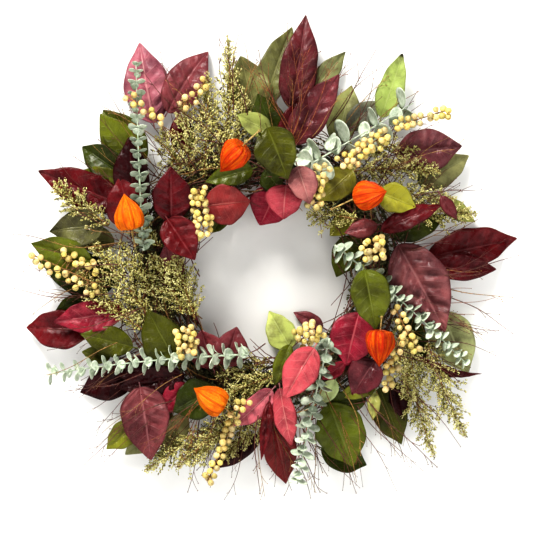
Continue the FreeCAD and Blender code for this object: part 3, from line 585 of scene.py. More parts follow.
def leaf_sheet(length, width, rng, quilt, cup, ripple, veins):
    """A leaf in its own frame: +X to the tip, +Z to its face, with its vein map."""
    rows = int(np.clip(length / (1.7 * MM), 24, 64))
    columns = 2 * int(np.clip(width / (4.2 * MM), 5, 12)) + 1
    t = np.linspace(0, 1, rows)[:, None]
    t = t - 0.11 * np.sin(2 * math.pi * t)
    v = np.linspace(-1, 1, columns)[None, :]
    outline = leaf_outline(t, rng.uniform(0.66, 0.8), rng.uniform(0.70, 0.84))
    half = np.maximum(outline, 0.015) * width / 2
    lean = rng.uniform(-0.05, 0.05)
    rim = 1 + 0.03 * np.sin(t * rng.uniform(12, 20) + rng.uniform(0, 6) + np.sign(v)) * smooth(0, 0.2, t)
    x = length * (t + 0 * v)
    y = half * v * (1 + lean * np.sign(v)) * rim + rng.uniform(-0.05, 0.05) * length * t * t
    reach = LEAF_BEND * length
    arch = np.sqrt(reach ** 2 - (x - length / 2) ** 2) - math.sqrt(reach ** 2 - (length / 2) ** 2)
    spread = 0.16 + 0.05 * rng.random()
    vein_map = veins * (t - spread * np.abs(v) ** 1.15 * outline ** 0.5) + 0.5
    pillow = np.abs(np.sin(math.pi * (vein_map - 0.5))) ** 0.7
    pillow = pillow * (1 + 0.35 * np.sin(9 * vein_map + 5 * v + rng.uniform(0, 6)))
    pillow = pillow * smooth(0.02, 0.25, np.abs(v)) * (1 - np.abs(v) ** 5)
    groove = np.exp(-(half * v / (1.5 * MM)) ** 2)
    wave = np.sin(t * rng.uniform(7, 12) + np.where(v > 0, 0, rng.uniform(1, 5)) + rng.uniform(0, 6))
    crumple = 0.0
    for wavelength in (11 * MM, 16 * MM, 24 * MM, 24 * MM):
        turn = rng.uniform(0, 2 * math.pi)
        along = x * math.cos(turn) + y * math.sin(turn)
        crumple = crumple + wavelength * np.sin(2 * math.pi * along / wavelength + rng.uniform(0, 6))
    z = arch + quilt * (pillow + 7 * crumple) * outline - 0.5 * MM * groove
    z = z + (cup * np.abs(v) ** 1.7 + rng.uniform(-0.02, 0.10) * np.abs(v)) * width * outline
    z = z + ripple * width * wave * np.abs(v) ** 2.2 * outline ** 0.5
    z = z + rng.uniform(-0.10, 0.10) * length * smooth(0.55, 1.0, t) * t
    z = z + rng.uniform(-0.09, 0.09) * width * v * (t - 0.3)
    return x, y, z, t + 0 * v, v + 0 * t, vein_map


def add_leaf(pieces, leaf, tint, rng, quilt, cup, ripple, veins):
    """One detailed leaf, with its petiole, where the CAD leaf is."""
    along = unit(leaf["tip"] - leaf["base"])
    across = unit(np.cross(leaf["normal"], along))
    normal = np.cross(along, across)
    length = np.linalg.norm(leaf["tip"] - leaf["base"])
    x, y, z, t, v, vein_map = leaf_sheet(length, leaf["width"], rng, quilt, cup, ripple, veins)

    def placed(height, limit):
        at = leaf["base"] + x[..., None] * along + y[..., None] * across + height[..., None] * normal
        at[..., 1] = np.minimum(at[..., 1], limit)
        return at.reshape(-1, 3)

    points = np.concatenate([placed(z + LEAF_THICKNESS / 2, DOOR_FACE - LEAF_THICKNESS),
                             placed(z - LEAF_THICKNESS / 2, DOOR_FACE)])
    tone, rib = (np.array(part) for part in TINTS[tint])
    jitter = rng.uniform(0.86, 1.16) * (1 + rng.uniform(-0.06, 0.06, 3))
    fade = 0.85 + 0.3 * t.ravel()[:, None] * rng.uniform(0.4, 1.0)
    tones = np.clip(tone * jitter * fade, 0, 0.9)
    if tint in WITHERED:
        tones = tones + (BROWN - tones) * smooth(0.93, 0.97, t.ravel())[:, None]
    faces = shell_faces(*x.shape)
    pieces.add(points, faces, leaf_tone=np.tile(tones, (2, 1)), leaf_rib=rib, leaf_v=np.tile(v.ravel(), 2),
               leaf_veins=np.tile(vein_map.ravel(), 2))
    path = bezier(leaf["stub"], (leaf["stub"] + leaf["base"]) / 2, leaf["base"] + along * 5 * MM, 6)
    path = path - normal * 0.3 * MM
    pieces.add_tube(path, np.linspace(0.95, 0.55, 6) * MM, 7,
                    leaf_tone=rib * 0.8, leaf_rib=rib, leaf_v=1.0, leaf_veins=0.0)


QUILTS = {"burgundy": 3.0 * MM, "rose": 2.4 * MM, "green": 1.5 * MM, "pale": 1.3 * MM}
LEAF_SURFACES = []


def make_leaves():
    nodes = [name for name in frame["nodes"] if "_leaves_" in name]
    for order, name in enumerate(sorted(nodes)):
        kind = name.split("_")[0]
        rng = np.random.default_rng(100 + order)
        pieces = Pieces()
        for leaf, tint in zip(leaf_frames(name), LEAF_TINTS[name].split(), strict=True):
            quilt = QUILTS[kind] * rng.uniform(0.7, 1.3) * max(1, leaf["width"] / (42 * MM))
            cup = rng.uniform(-0.03, 0.11)
            add_leaf(pieces, leaf, tint, rng, quilt, cup, rng.uniform(0.02, 0.075), rng.integers(5, 8))
        slot = f"{kind}_leaf"
        LEAF_SURFACES.append(pieces.make(name + "_blades", MATERIALS[slot], slot, replaces=[name]))


# --- Eucalyptus ---

DISC_RINGS, DISC_SPOKES = 5, 14
DISC_THICKNESS = 0.5 * MM


def add_round_leaf(pieces, foot, outward, face, radius, front, tone, rng):
    """A small cupped round leaf from its foot on the stem outward, no farther forward than front."""
    face = unit(face - outward * face.dot(outward))
    across = np.cross(outward, face)
    turn = circle(DISC_SPOKES)
    cup = rng.uniform(0.12, 0.34)
    wave = rng.uniform(0, 6)
    discs = [np.array([[radius, 0, 0]])]
    for share in np.linspace(0, 1, DISC_RINGS)[1:]:
        lobes = 1 + 0.06 * np.sin(3 * turn + wave) * share
        x = radius * (share * lobes * np.cos(turn) + 1.0)
        y = radius * share * lobes * np.sin(turn) * 0.96
        z = radius * (cup * share ** 2 * (1 + 0.3 * np.sin(2 * turn + wave)))
        discs.append(np.stack([x, y, z], -1))
    local = np.concatenate(discs)
    v = np.clip(local[:, 1] / radius, -1, 1)
    sheet = foot + local @ np.stack([outward, across, face])
    half = face * DISC_THICKNESS / 2
    points = np.concatenate([sheet + half, sheet - half])
    points[:, 1] += max(0.0, front - points[:, 1].min())
    size = len(sheet)
    faces, edge = [], []
    rim = 1 + (DISC_RINGS - 2) * DISC_SPOKES
    for k in range(DISC_SPOKES):
        after = (k + 1) % DISC_SPOKES
        faces.append([0, 1 + k, 1 + after])
        for inner in range(1, rim, DISC_SPOKES):
            outer = inner + DISC_SPOKES
            faces.append([inner + k, outer + k, outer + after, inner + after])
        edge.append([rim + k, rim + k + size, rim + after + size, rim + after])
    back = [[i + size for i in corners][::-1] for corners in faces]
    pieces.add(points, faces + back + edge, leaf_tone=tone, leaf_rib=tone * 0.6 + 0.25,
               leaf_v=np.tile(v, 2))


# For each sprig: how pale its bloom is at the base and at the tip, how far its leaves turn
# edge-on, like plates strung on the stem, and their size beside the CAD model's round leaves.
SPRIGS = {
    "eucalyptus_left": (0.3, 0.75, 0.5, 1.05),
    "eucalyptus_lower_left": (0.6, 1.2, 0.85, 1.1),
    "eucalyptus_bottom": (0.35, 0.95, 0.8, 1.05),
    "eucalyptus_right": (0.3, 0.85, 0.7, 1.05),
    "eucalyptus_upper_right": (0.8, 0.8, 0.1, 1.5),
}


def leaf_directions(pair, side, axes, twist, flat, rng):
    """Where one leaf of a pair points and faces. Each pair is crossed with the one before."""
    along, across, toward = axes
    if pair % 2:
        outward = across * side + toward * (twist * side + 0.25) + along * rng.uniform(0.2, 0.5)
        face = along * rng.uniform(-1.0, -0.6) + toward * rng.uniform(0.25, 1.0) * flat
    elif side > 0:
        outward = toward * 0.75 + along * rng.uniform(0.5, 0.9) + across * rng.uniform(-0.5, 0.5)
        face = toward * flat + across * rng.uniform(-0.6, 0.6) * flat - along * 0.8
    else:
        outward = across * rng.choice([-1, 1]) * 0.8 - toward * 0.6 + along * 0.5
        face = toward * flat + along * rng.uniform(-0.9, -0.4)
    return unit(outward), unit(face)


def make_eucalyptus():
    pale = np.array((0.74, 0.80, 0.68))
    grey = np.array((0.22, 0.27, 0.20))
    for order, name in enumerate(sorted(SPRIGS)):
        rng = np.random.default_rng(300 + order)
        points, edges = solids_of(name)[0]
        tip, base = long_axis(points, edges, 12 * MM)
        length = np.linalg.norm(tip - base)
        along = unit(tip - base)
        across, toward = axes_across(along)
        base_bloom, tip_bloom, edge, scale = SPRIGS[name]
        radius = np.ptp(points @ across) / 3.7 * scale
        pieces = Pieces()
        sway = rng.uniform(-0.03, 0.03) * length
        flat = 1 - 0.85 * edge
        count = int(length / (radius * (1.05 - 0.3 * edge)))
        for i in range(count):
            share = (i + 0.4) / count
            foot = base + along * share * length + across * sway * math.sin(math.pi * share)
            size = radius * (1.02 - 0.33 * share) * rng.uniform(0.88, 1.1)
            bloom = base_bloom + (tip_bloom - base_bloom) * share + rng.uniform(-0.25, 0.25)
            bloom = np.clip(bloom, 0, 1)
            tone = grey + (pale - grey) * bloom
            twist = rng.uniform(-0.3, 0.3)
            front = foot[1] - 0.9 * radius / scale * (1 - 0.45 * share)
            small = 0.92 if i % 2 else 0.74
            for side in (-1, 1):
                outward, face = leaf_directions(i, side, (along, across, toward), twist, flat, rng)
                add_round_leaf(pieces, foot, outward, face, size * small, front, tone, rng)
        stem = [base + along * s * length + across * sway * math.sin(math.pi * s)
                for s in np.linspace(0, 1, 24)]
        pieces.add_tube(stem, np.linspace(1.3, 0.5, 24) * MM, 7,
                        leaf_tone=grey + (pale - grey) * 0.6, leaf_rib=(0.4, 0.3, 0.2), leaf_v=1.0)
        pieces.make(name + "_sprig", MATERIALS["eucalyptus"], "eucalyptus", replaces=[name])


# --- Canella berries ---

BERRY_RADIUS = 3.4 * MM
VOTE_CELL = 1.2 * MM       # two votes this close are for the same centre
FEWEST_VOTES = 24
VOTE_REACH = 1 * MM        # votes this near a centre place it,
SPENT_REACH = 2.2 * MM     # and all votes this near are then used up


def berry_centres(node):
    """The centres of a node's round berries: where the faces' inward normals meet."""
    mesh = frame["nodes"][node].data
    middles = np.empty(len(mesh.polygons) * 3)
    normals = np.empty(len(mesh.polygons) * 3)
    mesh.polygons.foreach_get("center", middles)
    mesh.polygons.foreach_get("normal", normals)
    votes = (middles - normals * BERRY_RADIUS * 0.99).reshape(-1, 3)
    found = []
    while len(votes):
        cells = (votes / VOTE_CELL).round()
        _, places, counts = np.unique(cells, axis=0, return_inverse=True, return_counts=True)
        if counts.max() < FEWEST_VOTES:
            break
        seed = votes[places.ravel() == counts.argmax()].mean(0)
        near = np.linalg.norm(votes - seed, axis=1) < VOTE_REACH
        centre = votes[near].mean(0)
        found.append(centre)
        votes = votes[np.linalg.norm(votes - centre, axis=1) > SPENT_REACH]
    return found


def add_berry(pieces, centre, outward, radius, tone, rng):
    points, faces = BERRY
    end = points @ outward
    lumps = 1 + 0.04 * np.sin(points @ rng.uniform(-3, 3, 3) + rng.uniform(0, 6))
    dimple = 1 - 0.10 * smooth(0.93, 1.0, end)
    pieces.add(centre + points * (radius * lumps * dimple)[:, None], faces,
               berry_tone=tone, berry_end=end)


def settled(centres, rng):
    """Berries shaken off their regular rows, then eased apart again where they would meet."""
    spots = centres + rng.normal(0, 1.5, centres.shape) * MM
    for _ in range(30):
        gaps = spots[:, None] - spots[None]
        apart = np.linalg.norm(gaps, axis=-1) + np.eye(len(spots))
        push = np.clip(2.12 * BERRY_RADIUS - apart, 0, None) * (1 - np.eye(len(spots)))
        spots = spots + 0.3 * (gaps / apart[..., None] * push[..., None]).sum(1)
    return spots


def make_canella():
    nodes = [name for name in frame["nodes"] if name.startswith("canella_")]
    cream = np.array((0.76, 0.63, 0.28))
    for order, name in enumerate(sorted(nodes)):
        rng = np.random.default_rng(400 + order)
        pieces = Pieces()
        stems = Pieces()
        centres = np.array(berry_centres(name))
        for points, _ in solids_of(name):
            low, high = points.min(0), points.max(0)
            own = centres[((centres > low) & (centres < high)).all(1)]
            middle = own.mean(0)
            along = np.linalg.svd(own - middle, full_matrices=False)[2][0]
            middle = middle - VIEWER * 0.8 * np.ptp(own @ VIEWER) / 2
            reach = (own - middle) @ along
            stem = [middle + along * part for part in np.linspace(reach.min(), reach.max(), 14)]
            stems.add_tube(stem, np.linspace(0.8, 0.5, 14) * MM, 6)
            for spot, run in zip(settled(own, rng), reach):
                tone = cream * rng.uniform(0.66, 1.15) * (1, rng.uniform(0.92, 1.04), rng.uniform(0.7, 1.2))
                outward = unit(rng.normal(0, 1, 3) + VIEWER * 0.4)
                add_berry(pieces, spot, outward, BERRY_RADIUS * rng.uniform(0.96, 1.2), tone, rng)
                foot = middle + along * (run - 2 * MM)
                stems.add_tube(bezier(foot, foot * 0.4 + spot * 0.6, spot, 5), 0.4 * MM, 5)
        pieces.make(name + "_berries", MATERIALS["canella"], "canella", replaces=[name])
        stems.make(name + "_stems", MATERIALS["stem"], "twig")


# --- Artemisia ---

def plume_swell(share):
    """How far branchlets reach at a share of a plume's length, beside its widest place."""
    return max(math.sin(math.pi * min(max(share, 0.02), 0.98) ** 0.62), 0.0) ** 0.75


def leaf_tree():
    """All the finished leaves as one surface, to keep buds from poking through them."""
    points, faces, count = [], [], 0
    for piece in LEAF_SURFACES:
        mesh = piece.data
        points.extend(vert.co.copy() for vert in mesh.vertices)
        faces.extend([i + count for i in face.vertices] for face in mesh.polygons)
        count += len(mesh.vertices)
    return BVHTree.FromPolygons(points, faces)


COVER_REACH = 22 * MM      # how far behind a bud a leaf is looked for


def covered(tree, spot, core_depth):
    """Whether a bud would stand in front of a leaf that lies on top of its plume."""
    hit = tree.ray_cast(Vector(spot - VIEWER * 0.001 * MM), Vector(-VIEWER), COVER_REACH)
    return hit[0] is not None and -hit[0].y > core_depth


# The buds' colours from a plume's face to its depth, darkening towards the depth as painted shade.
BUD_TONES_WITH_PAINTED_SHADE = np.array([(0.90, 0.88, 0.47), (0.70, 0.68, 0.27), (0.26, 0.25, 0.07), (0.03, 0.026, 0.010)])
PLUME_REACH = 25 * MM      # how far a plume's branchlets stand out from its stem
BRANCHLET_STEP = 1.5 * MM
BUD_STEP = 0.75 * MM
BUD_SPREAD = 1.15 * MM     # how far the buds stray from their branchlet


def add_buds(buds, tree, foot, heading, reach, droop, core_depth, deep, rng):
    """The buds of one branchlet, darker near the stem and farther back as painted shade, with near-black
    buds behind them as painted shade where the plume is deep.
    """
    count = int(reach / BUD_STEP)
    shares = np.sort(rng.uniform(0.12, 1.05, count))[:, None]
    set_on = foot + heading * reach * shares + droop * shares ** 2
    around = rng.normal(0, 1, (count, 3)) * BUD_SPREAD
    for spot, run in zip(set_on + around, shares[:, 0]):
        if covered(tree, spot, core_depth):
            continue
        turned = unit(heading + rng.normal(0, 0.45, 3))
        # Painted shade: buds near the stem and farther back get darker tones, and buds out front get
        # brighter ones.
        front = (spot - foot) @ VIEWER / (8 * MM)
        depth = np.clip(1.5 - 0.9 * run - 0.8 * front + rng.normal(0, 0.7), 0, 3)
        buds.append((spot, turned, [np.interp(depth, range(4), BUD_TONES_WITH_PAINTED_SHADE[:, c]) for c in range(3)]))
        # Near-black buds behind, as painted shade in the plume's depth.
        behind = spot - VIEWER * rng.uniform(3, 8) * MM
        if deep and rng.random() < 0.6 and behind[1] < DOOR_FACE - 2 * MM:
            buds.append((behind, heading, BUD_TONES_WITH_PAINTED_SHADE[-1]))


def add_plume(pieces, stems, tree, points, edges, rng):
    """One plume: a stem with branchlets on all sides, each set with tiny buds."""
    tip, base = long_axis(points, edges, 0.2 * np.linalg.norm(np.ptp(points, axis=0)))
    length = np.linalg.norm(tip - base)
    along = unit(tip - base)
    across = unit(np.cross(along, VIEWER))
    sway = rng.uniform(-0.05, 0.05) * length
    steps = int(length / BRANCHLET_STEP)
    path, buds = [], []
    for i in range(steps):
        share = (i + 0.5) / steps
        foot = base + along * share * length + across * sway * math.sin(math.pi * share)
        path.append(foot)
        turn = GOLDEN * i + rng.uniform(-0.4, 0.4)
        out = across * math.cos(turn) + VIEWER * 0.4 * math.sin(turn)
        heading = unit(out + along * rng.uniform(0.6, 1.2))
        reach = PLUME_REACH * plume_swell(share) * rng.uniform(0.6, 1.2)
        droop = rng.normal(0, 0.12, 3) * reach
        twig = bezier(foot, foot + heading * reach * 0.5, foot + heading * reach + droop, 5)
        stems.add_tube(twig, np.linspace(0.34, 0.2, 5) * MM, 3)
        add_buds(buds, tree, foot, heading, reach, droop, -base[1] + 0.5 * MM, share < 0.65, rng)
    if buds:
        spots, headings, tones = (np.array(part) for part in zip(*buds))
        sizes = rng.uniform(0.5, 1.0, len(buds)) * MM
        scatter(pieces, spots, headings, sizes, 1.7, bud_tone=tones)
    stems.add_tube(path, np.linspace(0.9, 0.3, len(path)) * MM, 5)


def make_artemisia():
    tree = leaf_tree()
    nodes = [name for name in frame["nodes"] if name.startswith("artemisia_")]
    for order, name in enumerate(sorted(nodes)):
        rng = np.random.default_rng(500 + order)
        pieces = Pieces()
        stems = Pieces()
        for points, edges in solids_of(name):
            add_plume(pieces, stems, tree, points, edges, rng)
        pieces.make(name + "_buds", MATERIALS["artemisia"], "artemisia", replaces=[name])
        stems.make(name + "_stems", MATERIALS["stem"], "twig")


# --- The brush that covers the ring ---

BRUSH_DEPTH = 2 * MM       # how far in front of the canes the lowest stems lie
BRUSH_STEMS = 420
BRUSH_BAND = (90, 168)     # the radii, in mm, between which the stems' middles lie
BRUSH_LENGTHS = (35, 95)   # in mm
MOSS_GRAINS = 9000
MOSS_BAND = (95, 165)


def make_brush():
    """Fine stems and dark moss laid along the ring, under the foliage; the moss's dark colour is partly
    painted shade for the gaps between the leaves.
    """
    rng = np.random.default_rng(900)
    front = min(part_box(f"vine_cane_{number}")[0][1] for number in range(1, 6))
    stems = Pieces()
    tan = Pieces()
    moss = Pieces()
    for i in range(BRUSH_STEMS):
        angle = rng.uniform(0, 2 * math.pi)
        radius = rng.uniform(*BRUSH_BAND) * MM
        length = rng.uniform(*BRUSH_LENGTHS) * MM
        drift = rng.uniform(-0.45, 0.45)
        depth = front - BRUSH_DEPTH - rng.uniform(0, 8) * MM
        path = []
        for share in np.linspace(-0.5, 0.5, 7):
            turn = angle + share * length / radius
            out = radius + drift * share * length + 4 * MM * math.sin(5 * share + i)
            path.append((RING_CENTRE[0] + out * math.sin(turn), depth + 3 * MM * math.cos(4 * share + i),
                         RING_CENTRE[2] + out * math.cos(turn)))
        (tan if i % 4 == 0 else stems).add_tube(path, np.linspace(0.75, 0.35, 7) * MM, 5)
    # Moss grains, dark partly as painted shade in the gaps under the foliage.
    angles = rng.uniform(0, 2 * math.pi, MOSS_GRAINS)
    radii = np.clip(rng.normal(128, 15, MOSS_GRAINS), *MOSS_BAND) * MM
    depths = front - rng.uniform(0, 9, MOSS_GRAINS) * MM
    beside, above = RING_CENTRE[0] + radii * np.sin(angles), RING_CENTRE[2] + radii * np.cos(angles)
    headings = rng.normal(0, 1, (MOSS_GRAINS, 3))
    headings /= np.linalg.norm(headings, axis=1)[:, None]
    sizes = rng.uniform(0.7, 1.5, MOSS_GRAINS) * MM
    scatter(moss, np.stack([beside, depths, above], 1), headings, sizes, 2.2)
    stems.make("brush_dark_stems", MATERIALS["twig"], "twig")
    tan.make("brush_tan_stems", MATERIALS["stem"], "twig")
    moss.make("brush_moss_and_painted_shade", MATERIALS["moss"], "artemisia")


# --- Lantern pods ---

HUSK_TONES = {
    1: (0.68, 0.055, 0.003),
    2: (0.74, 0.080, 0.005),
    3: (0.90, 0.200, 0.006),
    4: (0.60, 0.040, 0.002),
    5: (0.90, 0.220, 0.008),
}
# A husk's outline, as shares of its length and of its greatest radius.
HUSK_SHAPE = [(0.0, 0.20), (0.03, 0.50), (0.10, 0.80), (0.22, 0.97), (0.36, 1.0), (0.5, 0.93),
              (0.66, 0.72), (0.8, 0.44), (0.9, 0.22), (0.96, 0.10), (1.0, 0.02)]
HUSK_RIBS = 10
HUSK_ROWS = 52
HUSK_SIDES = 90


def husk_measures(node):
    """Where a CAD husk's neck is, which way it points, how long it is and its greatest radius."""
    points, edges = solids_of(node)[0]
    tip, neck = long_axis(points, edges, 1.5 * MM)
    for _ in range(3):
        along = unit(tip - neck)
        length = (tip - neck) @ along
        shares = (points - tip) @ along / length + 1
        neck = points[shares < 0.02].mean(0)
    along = unit(tip - neck)
    around = points - neck - np.outer((points - neck) @ along, along)
    return neck, along, np.linalg.norm(tip - neck), np.linalg.norm(around, axis=1).max()


def make_husk(number):
    name = f"lantern_{number}_husk"
    rng = np.random.default_rng(600 + number)
    neck, along, length, radius = husk_measures(name)
    across, toward = axes_across(along)
    shares = np.linspace(0, 1, HUSK_ROWS)
    swell = np.interp(shares, *zip(*HUSK_SHAPE))
    swell = np.convolve(np.pad(swell, 2, mode="edge"), np.ones(5) / 5, mode="valid")
    turns = circle(HUSK_SIDES)
    start = rng.uniform(0, 3)
    rib = np.abs(np.cos((turns + start) * HUSK_RIBS / 2))
    main = np.abs(np.cos((turns + start) * HUSK_RIBS / 4))
    sway = rng.uniform(-0.06, 0.06, 2)
    lumps = rng.uniform(0, 6, 3)
    rows = []
    for share, size in zip(shares, swell):
        crest = smooth(0.02, 0.3, share)
        ridge = 1 - (0.045 * (1 - rib ** 3) + 0.075 * (1 - main ** 2)) * crest
        dent = 1 + 0.022 * np.sin(turns * 7 + share * 9 + lumps[0]) * crest
        dent = dent + 0.02 * np.sin(turns * 3 - share * 15 + lumps[1]) * crest
        reach = radius * size * ridge * dent * 1.03
        centre = neck + along * length * (share + 0.05 * (1 - smooth(0, 0.1, share)))
        centre = centre + (across * sway[0] + toward * sway[1]) * length * share ** 2 * 0.5
        ring = np.outer(np.cos(turns) * reach, across) + np.outer(np.sin(turns) * reach, toward)
        rows.append(centre + ring)
    tone = np.array(HUSK_TONES[number])
    fade = np.repeat(0.86 + 0.22 * shares, HUSK_SIDES)[:, None]
    turned = np.abs((turns + start) % (2 * math.pi) - math.pi) * 7
    pieces = Pieces()
    pieces.add(np.concatenate(rows), ring_faces(HUSK_ROWS, HUSK_SIDES, flip=True), husk_tone=tone * fade,
               husk_rib=np.tile(rib, HUSK_ROWS), husk_turn=np.tile(turned, HUSK_ROWS),
               husk_share=np.repeat(shares * 1.6, HUSK_SIDES))
    pieces.make(f"lantern_{number}_paper", MATERIALS["lantern_husk"], "lantern_husk",
                body=f"lantern_{number}", replaces=[name])


# --- Twigs and vine canes ---

TWIG_LIMIT = 12 * MM       # how far past the CAD model's box the finest tips may reach
FINE_TWIGS = 190
TWIG_FEET = (135, 190)     # the radii, in mm, between which they start
TWIG_LENGTHS = (60, 115)   # in mm
# Sprays of rust-brown twigs that lie over the leaves: the foot from the ring's centre in mm,
# the headings of the first and last twig in degrees clockwise from up, and how many there are.
SPRAYS = [
    ((28, -34, 150), -30, 45, 11),
    ((60, -30, -120), 150, 205, 4),
    ((-60, -30, -130), 185, 235, 5),
    ((150, -26, -30), 80, 130, 7),
]


def add_twig(pieces, base, tip, thick, shoots, rng):
    """A fine bent twig with side shoots, each ending in a bud."""
    along = unit(tip - base)
    across = unit(np.cross(along, VIEWER))
    length = np.linalg.norm(tip - base)
    bend = across * rng.uniform(-0.16, 0.16) * length
    path = bezier(base, (base + tip) / 2 + bend, tip, 12)
    path = path + across * (0.012 * length * np.sin(np.linspace(0, rng.uniform(5, 9), 12)))[:, None]
    pieces.add_tube(path, np.linspace(thick, thick * 0.4, 12), 5)
    for _ in range(shoots):
        share = rng.uniform(0.35, 0.95)
        foot = path[int(share * 11)]
        out = along + across * rng.choice([-1, 1]) * rng.uniform(0.3, 0.8)
        out = unit(out + VIEWER * rng.uniform(-0.1, 0.2))
        reach = rng.uniform(7, 20) * MM * (1.2 - 0.5 * share)
        end = foot + out * reach
        shoot = bezier(foot, foot + out * reach * 0.5 + along * 2 * MM, end, 5)
        pieces.add_tube(shoot, np.linspace(thick * 0.5, thick * 0.3, 5), 4)
        pieces.add(end + BUD[0] * thick, BUD[1])
    pieces.add(path[-1] + BUD[0] * thick, BUD[1])


def make_twigs():
    """The CAD model's twigs, and the finer ones between them."""
    rng = np.random.default_rng(700)
    dark, tan, rust = Pieces(), Pieces(), Pieces()
    for points, edges in solids_of("fine_twigs"):
        tip, base = long_axis(points, edges, 2 * MM)
        if np.linalg.norm(tip - RING_CENTRE) < np.linalg.norm(base - RING_CENTRE):
            tip, base = base, tip
        add_twig(dark, base, tip, 0.7 * MM, rng.integers(4, 7), rng)
    low = np.array(CAD_BOX[0]) - TWIG_LIMIT
    high = np.array(CAD_BOX[1]) + TWIG_LIMIT
    depth = RING_LOW[1]
    for i in range(FINE_TWIGS):
        angle = 2 * math.pi * i / FINE_TWIGS + rng.uniform(-0.03, 0.03)
        heading = angle + rng.uniform(-0.5, 0.5)
        start = rng.uniform(*TWIG_FEET) * MM
        out = np.array([math.sin(angle), 0, math.cos(angle)])
        run = np.array([math.sin(heading), rng.uniform(-0.35, 0.05), math.cos(heading)])
        base = RING_CENTRE + out * start
        base[1] = depth - rng.uniform(2, 22 if i % 3 else 42) * MM
        drawn = rng.uniform(*TWIG_LENGTHS) * MM
        room = np.where(run > 0, high - base, base - low) / np.maximum(np.abs(run), 0.01)
        room = rng.uniform(0.85, 1.0) * min(room[0], room[2])
        length = min(drawn, room)
        tip = base + run * length
        tip[1] = np.clip(tip[1], CAD_BOX[0][1], CAD_BOX[1][1] - 3 * MM)
        kind = tan if i % 4 == 1 else dark
        add_twig(kind, base, tip, rng.uniform(0.45, 0.75) * MM, rng.integers(1, 5), rng)
    for foot, first, last, count in SPRAYS:
        for heading in np.radians(np.linspace(first, last, count) + rng.uniform(-6, 6, count)):
            base = RING_CENTRE + np.array(foot) * MM + rng.uniform(-6, 6, 3) * MM
            run = np.array([math.sin(heading), rng.uniform(-0.1, 0.05), math.cos(heading)])
            tip = base + run * rng.uniform(55, 120) * MM
            add_twig(rust, base, tip, 0.55 * MM, rng.integers(2, 5), rng)
    dark.make("twig_sprays", MATERIALS["twig"], "twig", replaces=["fine_twigs"])
    rust.make("twig_sprays_rust", MATERIALS["rust_twig"], "twig")
    tan.make("twig_sprays_tan", MATERIALS["stem"], "twig")


CANE_ROWS = 260            # sections round the ring
CANE_SIDES = 14
CANE_KNOTS = 9


def make_canes():
    """Rings of uneven, knotted bark in place of the CAD model's canes."""
    for number in range(1, 6):
        name = f"vine_cane_{number}"
        rng = np.random.default_rng(800 + number)
        low, high = (np.array(corner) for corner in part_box(name))
        centre = (low + high) / 2
        thick = (high[1] - low[1]) / 2
        reach = (high[0] - low[0]) / 2 - thick
        round_it = circle(CANE_SIDES)
        knots = rng.uniform(0, 2 * math.pi, CANE_KNOTS)
        rows = []
        for turn in circle(CANE_ROWS):
            out = np.array([math.sin(turn), 0, math.cos(turn)])
            gaps = np.abs((turn - knots + math.pi) % (2 * math.pi) - math.pi)
            knot = 0.5 * MM * np.exp(-(gaps.min() / 0.02) ** 2)
            lumps = 0.16 * np.sin(13 * round_it + 40 * turn) + 0.2 * np.sin(3 * round_it + 9 * turn)
            size = thick - 0.35 * MM + knot + lumps * MM
            spine = centre + out * (reach + 0.2 * MM * math.sin(7 * turn + number))
            ring = np.outer(size * np.cos(round_it), out) + np.outer(size * np.sin(round_it), VIEWER)
            rows.append(spine + ring)
        pieces = Pieces()
        pieces.add(np.concatenate(rows), ring_faces(CANE_ROWS, CANE_SIDES, flip=True, joined=True))
        pieces.make(f"vine_bark_{number}", MATERIALS["vine_cane"], "vine_cane", replaces=[name])


def finish_cad_nodes():
    """The wires and stalks keep their CAD shapes and get their finishes."""
    slots = {part["node"]: part["material_slot"] for part in frame["record"]["subparts"]}
    kept = ["inner_rail", "outer_rail", "frame_rungs", "binding_wire", "hanging_loop", "lantern_picks"]
    kept += [f"lantern_{number}_stalk" for number in range(1, 6)]
    for name in kept:
        piece = frame["nodes"][name]
        piece.data.materials.clear()
        piece.data.materials.append(MATERIALS[slots[name]])


# --- Backdrop, light and camera ---

WALL_GAP = 1 * MM
FLOOR_DROP = 0.55
ROOM = 6.0
WALL_PAINT = (0.69, 0.69, 0.68)
WALL_PAINTED_LIGHT = (0.03, 0.22)   # painted light: how brightly the wall glows inside the ring and well outside it, lifting the shadows there
WALL_REACH = (0.12, 0.28)  # how far from the ring's centre it changes
FAR_GLOW = 0.72            # brightness of the far walls, and of the floor beyond the lights
FLOOR_REACH = (1.0, 2.4)
WORLD_LIGHT = 0.08
VIEW_DISTANCE = 2.3
VIEW_WIDTH = 0.597         # what the picture takes in, at the foliage's middle depth
VIEW_DEPTH = 0.035
VIEW_RISE = 0.0095


def plane(name, corners, finish, lights_others=True):
    """A flat piece of the room; one that lights nothing is seen only straight on."""
    mesh = bpy.data.meshes.new(name)
    mesh.from_pydata(corners, [], [[0, 1, 2, 3]])
    mesh.materials.append(finish)
    made = bpy.data.objects.new(name, mesh)
    bpy.context.collection.objects.link(made)
    if not lights_others:
        made.visible_shadow = False
        made.visible_diffuse = False
        made.visible_glossy = False
        made.visible_transmission = False


def white_finish(name, color=(0.94, 0.94, 0.935)):
    """A matt white that can be made to glow; on the wall the glow is painted light."""
    look = Look(name, color, 0.9)
    look.feed("Emission Color", (1, 1, 0.99, 1))
    return look


def glow_away_from(look, centre, reach, strengths):
    """Makes a surface glow more the farther it is from a point."""
    away = look.node("ShaderNodeVectorMath", {0: look.place(), 1: centre}, operation="DISTANCE")
    look.feed("Emission Strength", look.step(away.outputs["Value"], *reach, *strengths))


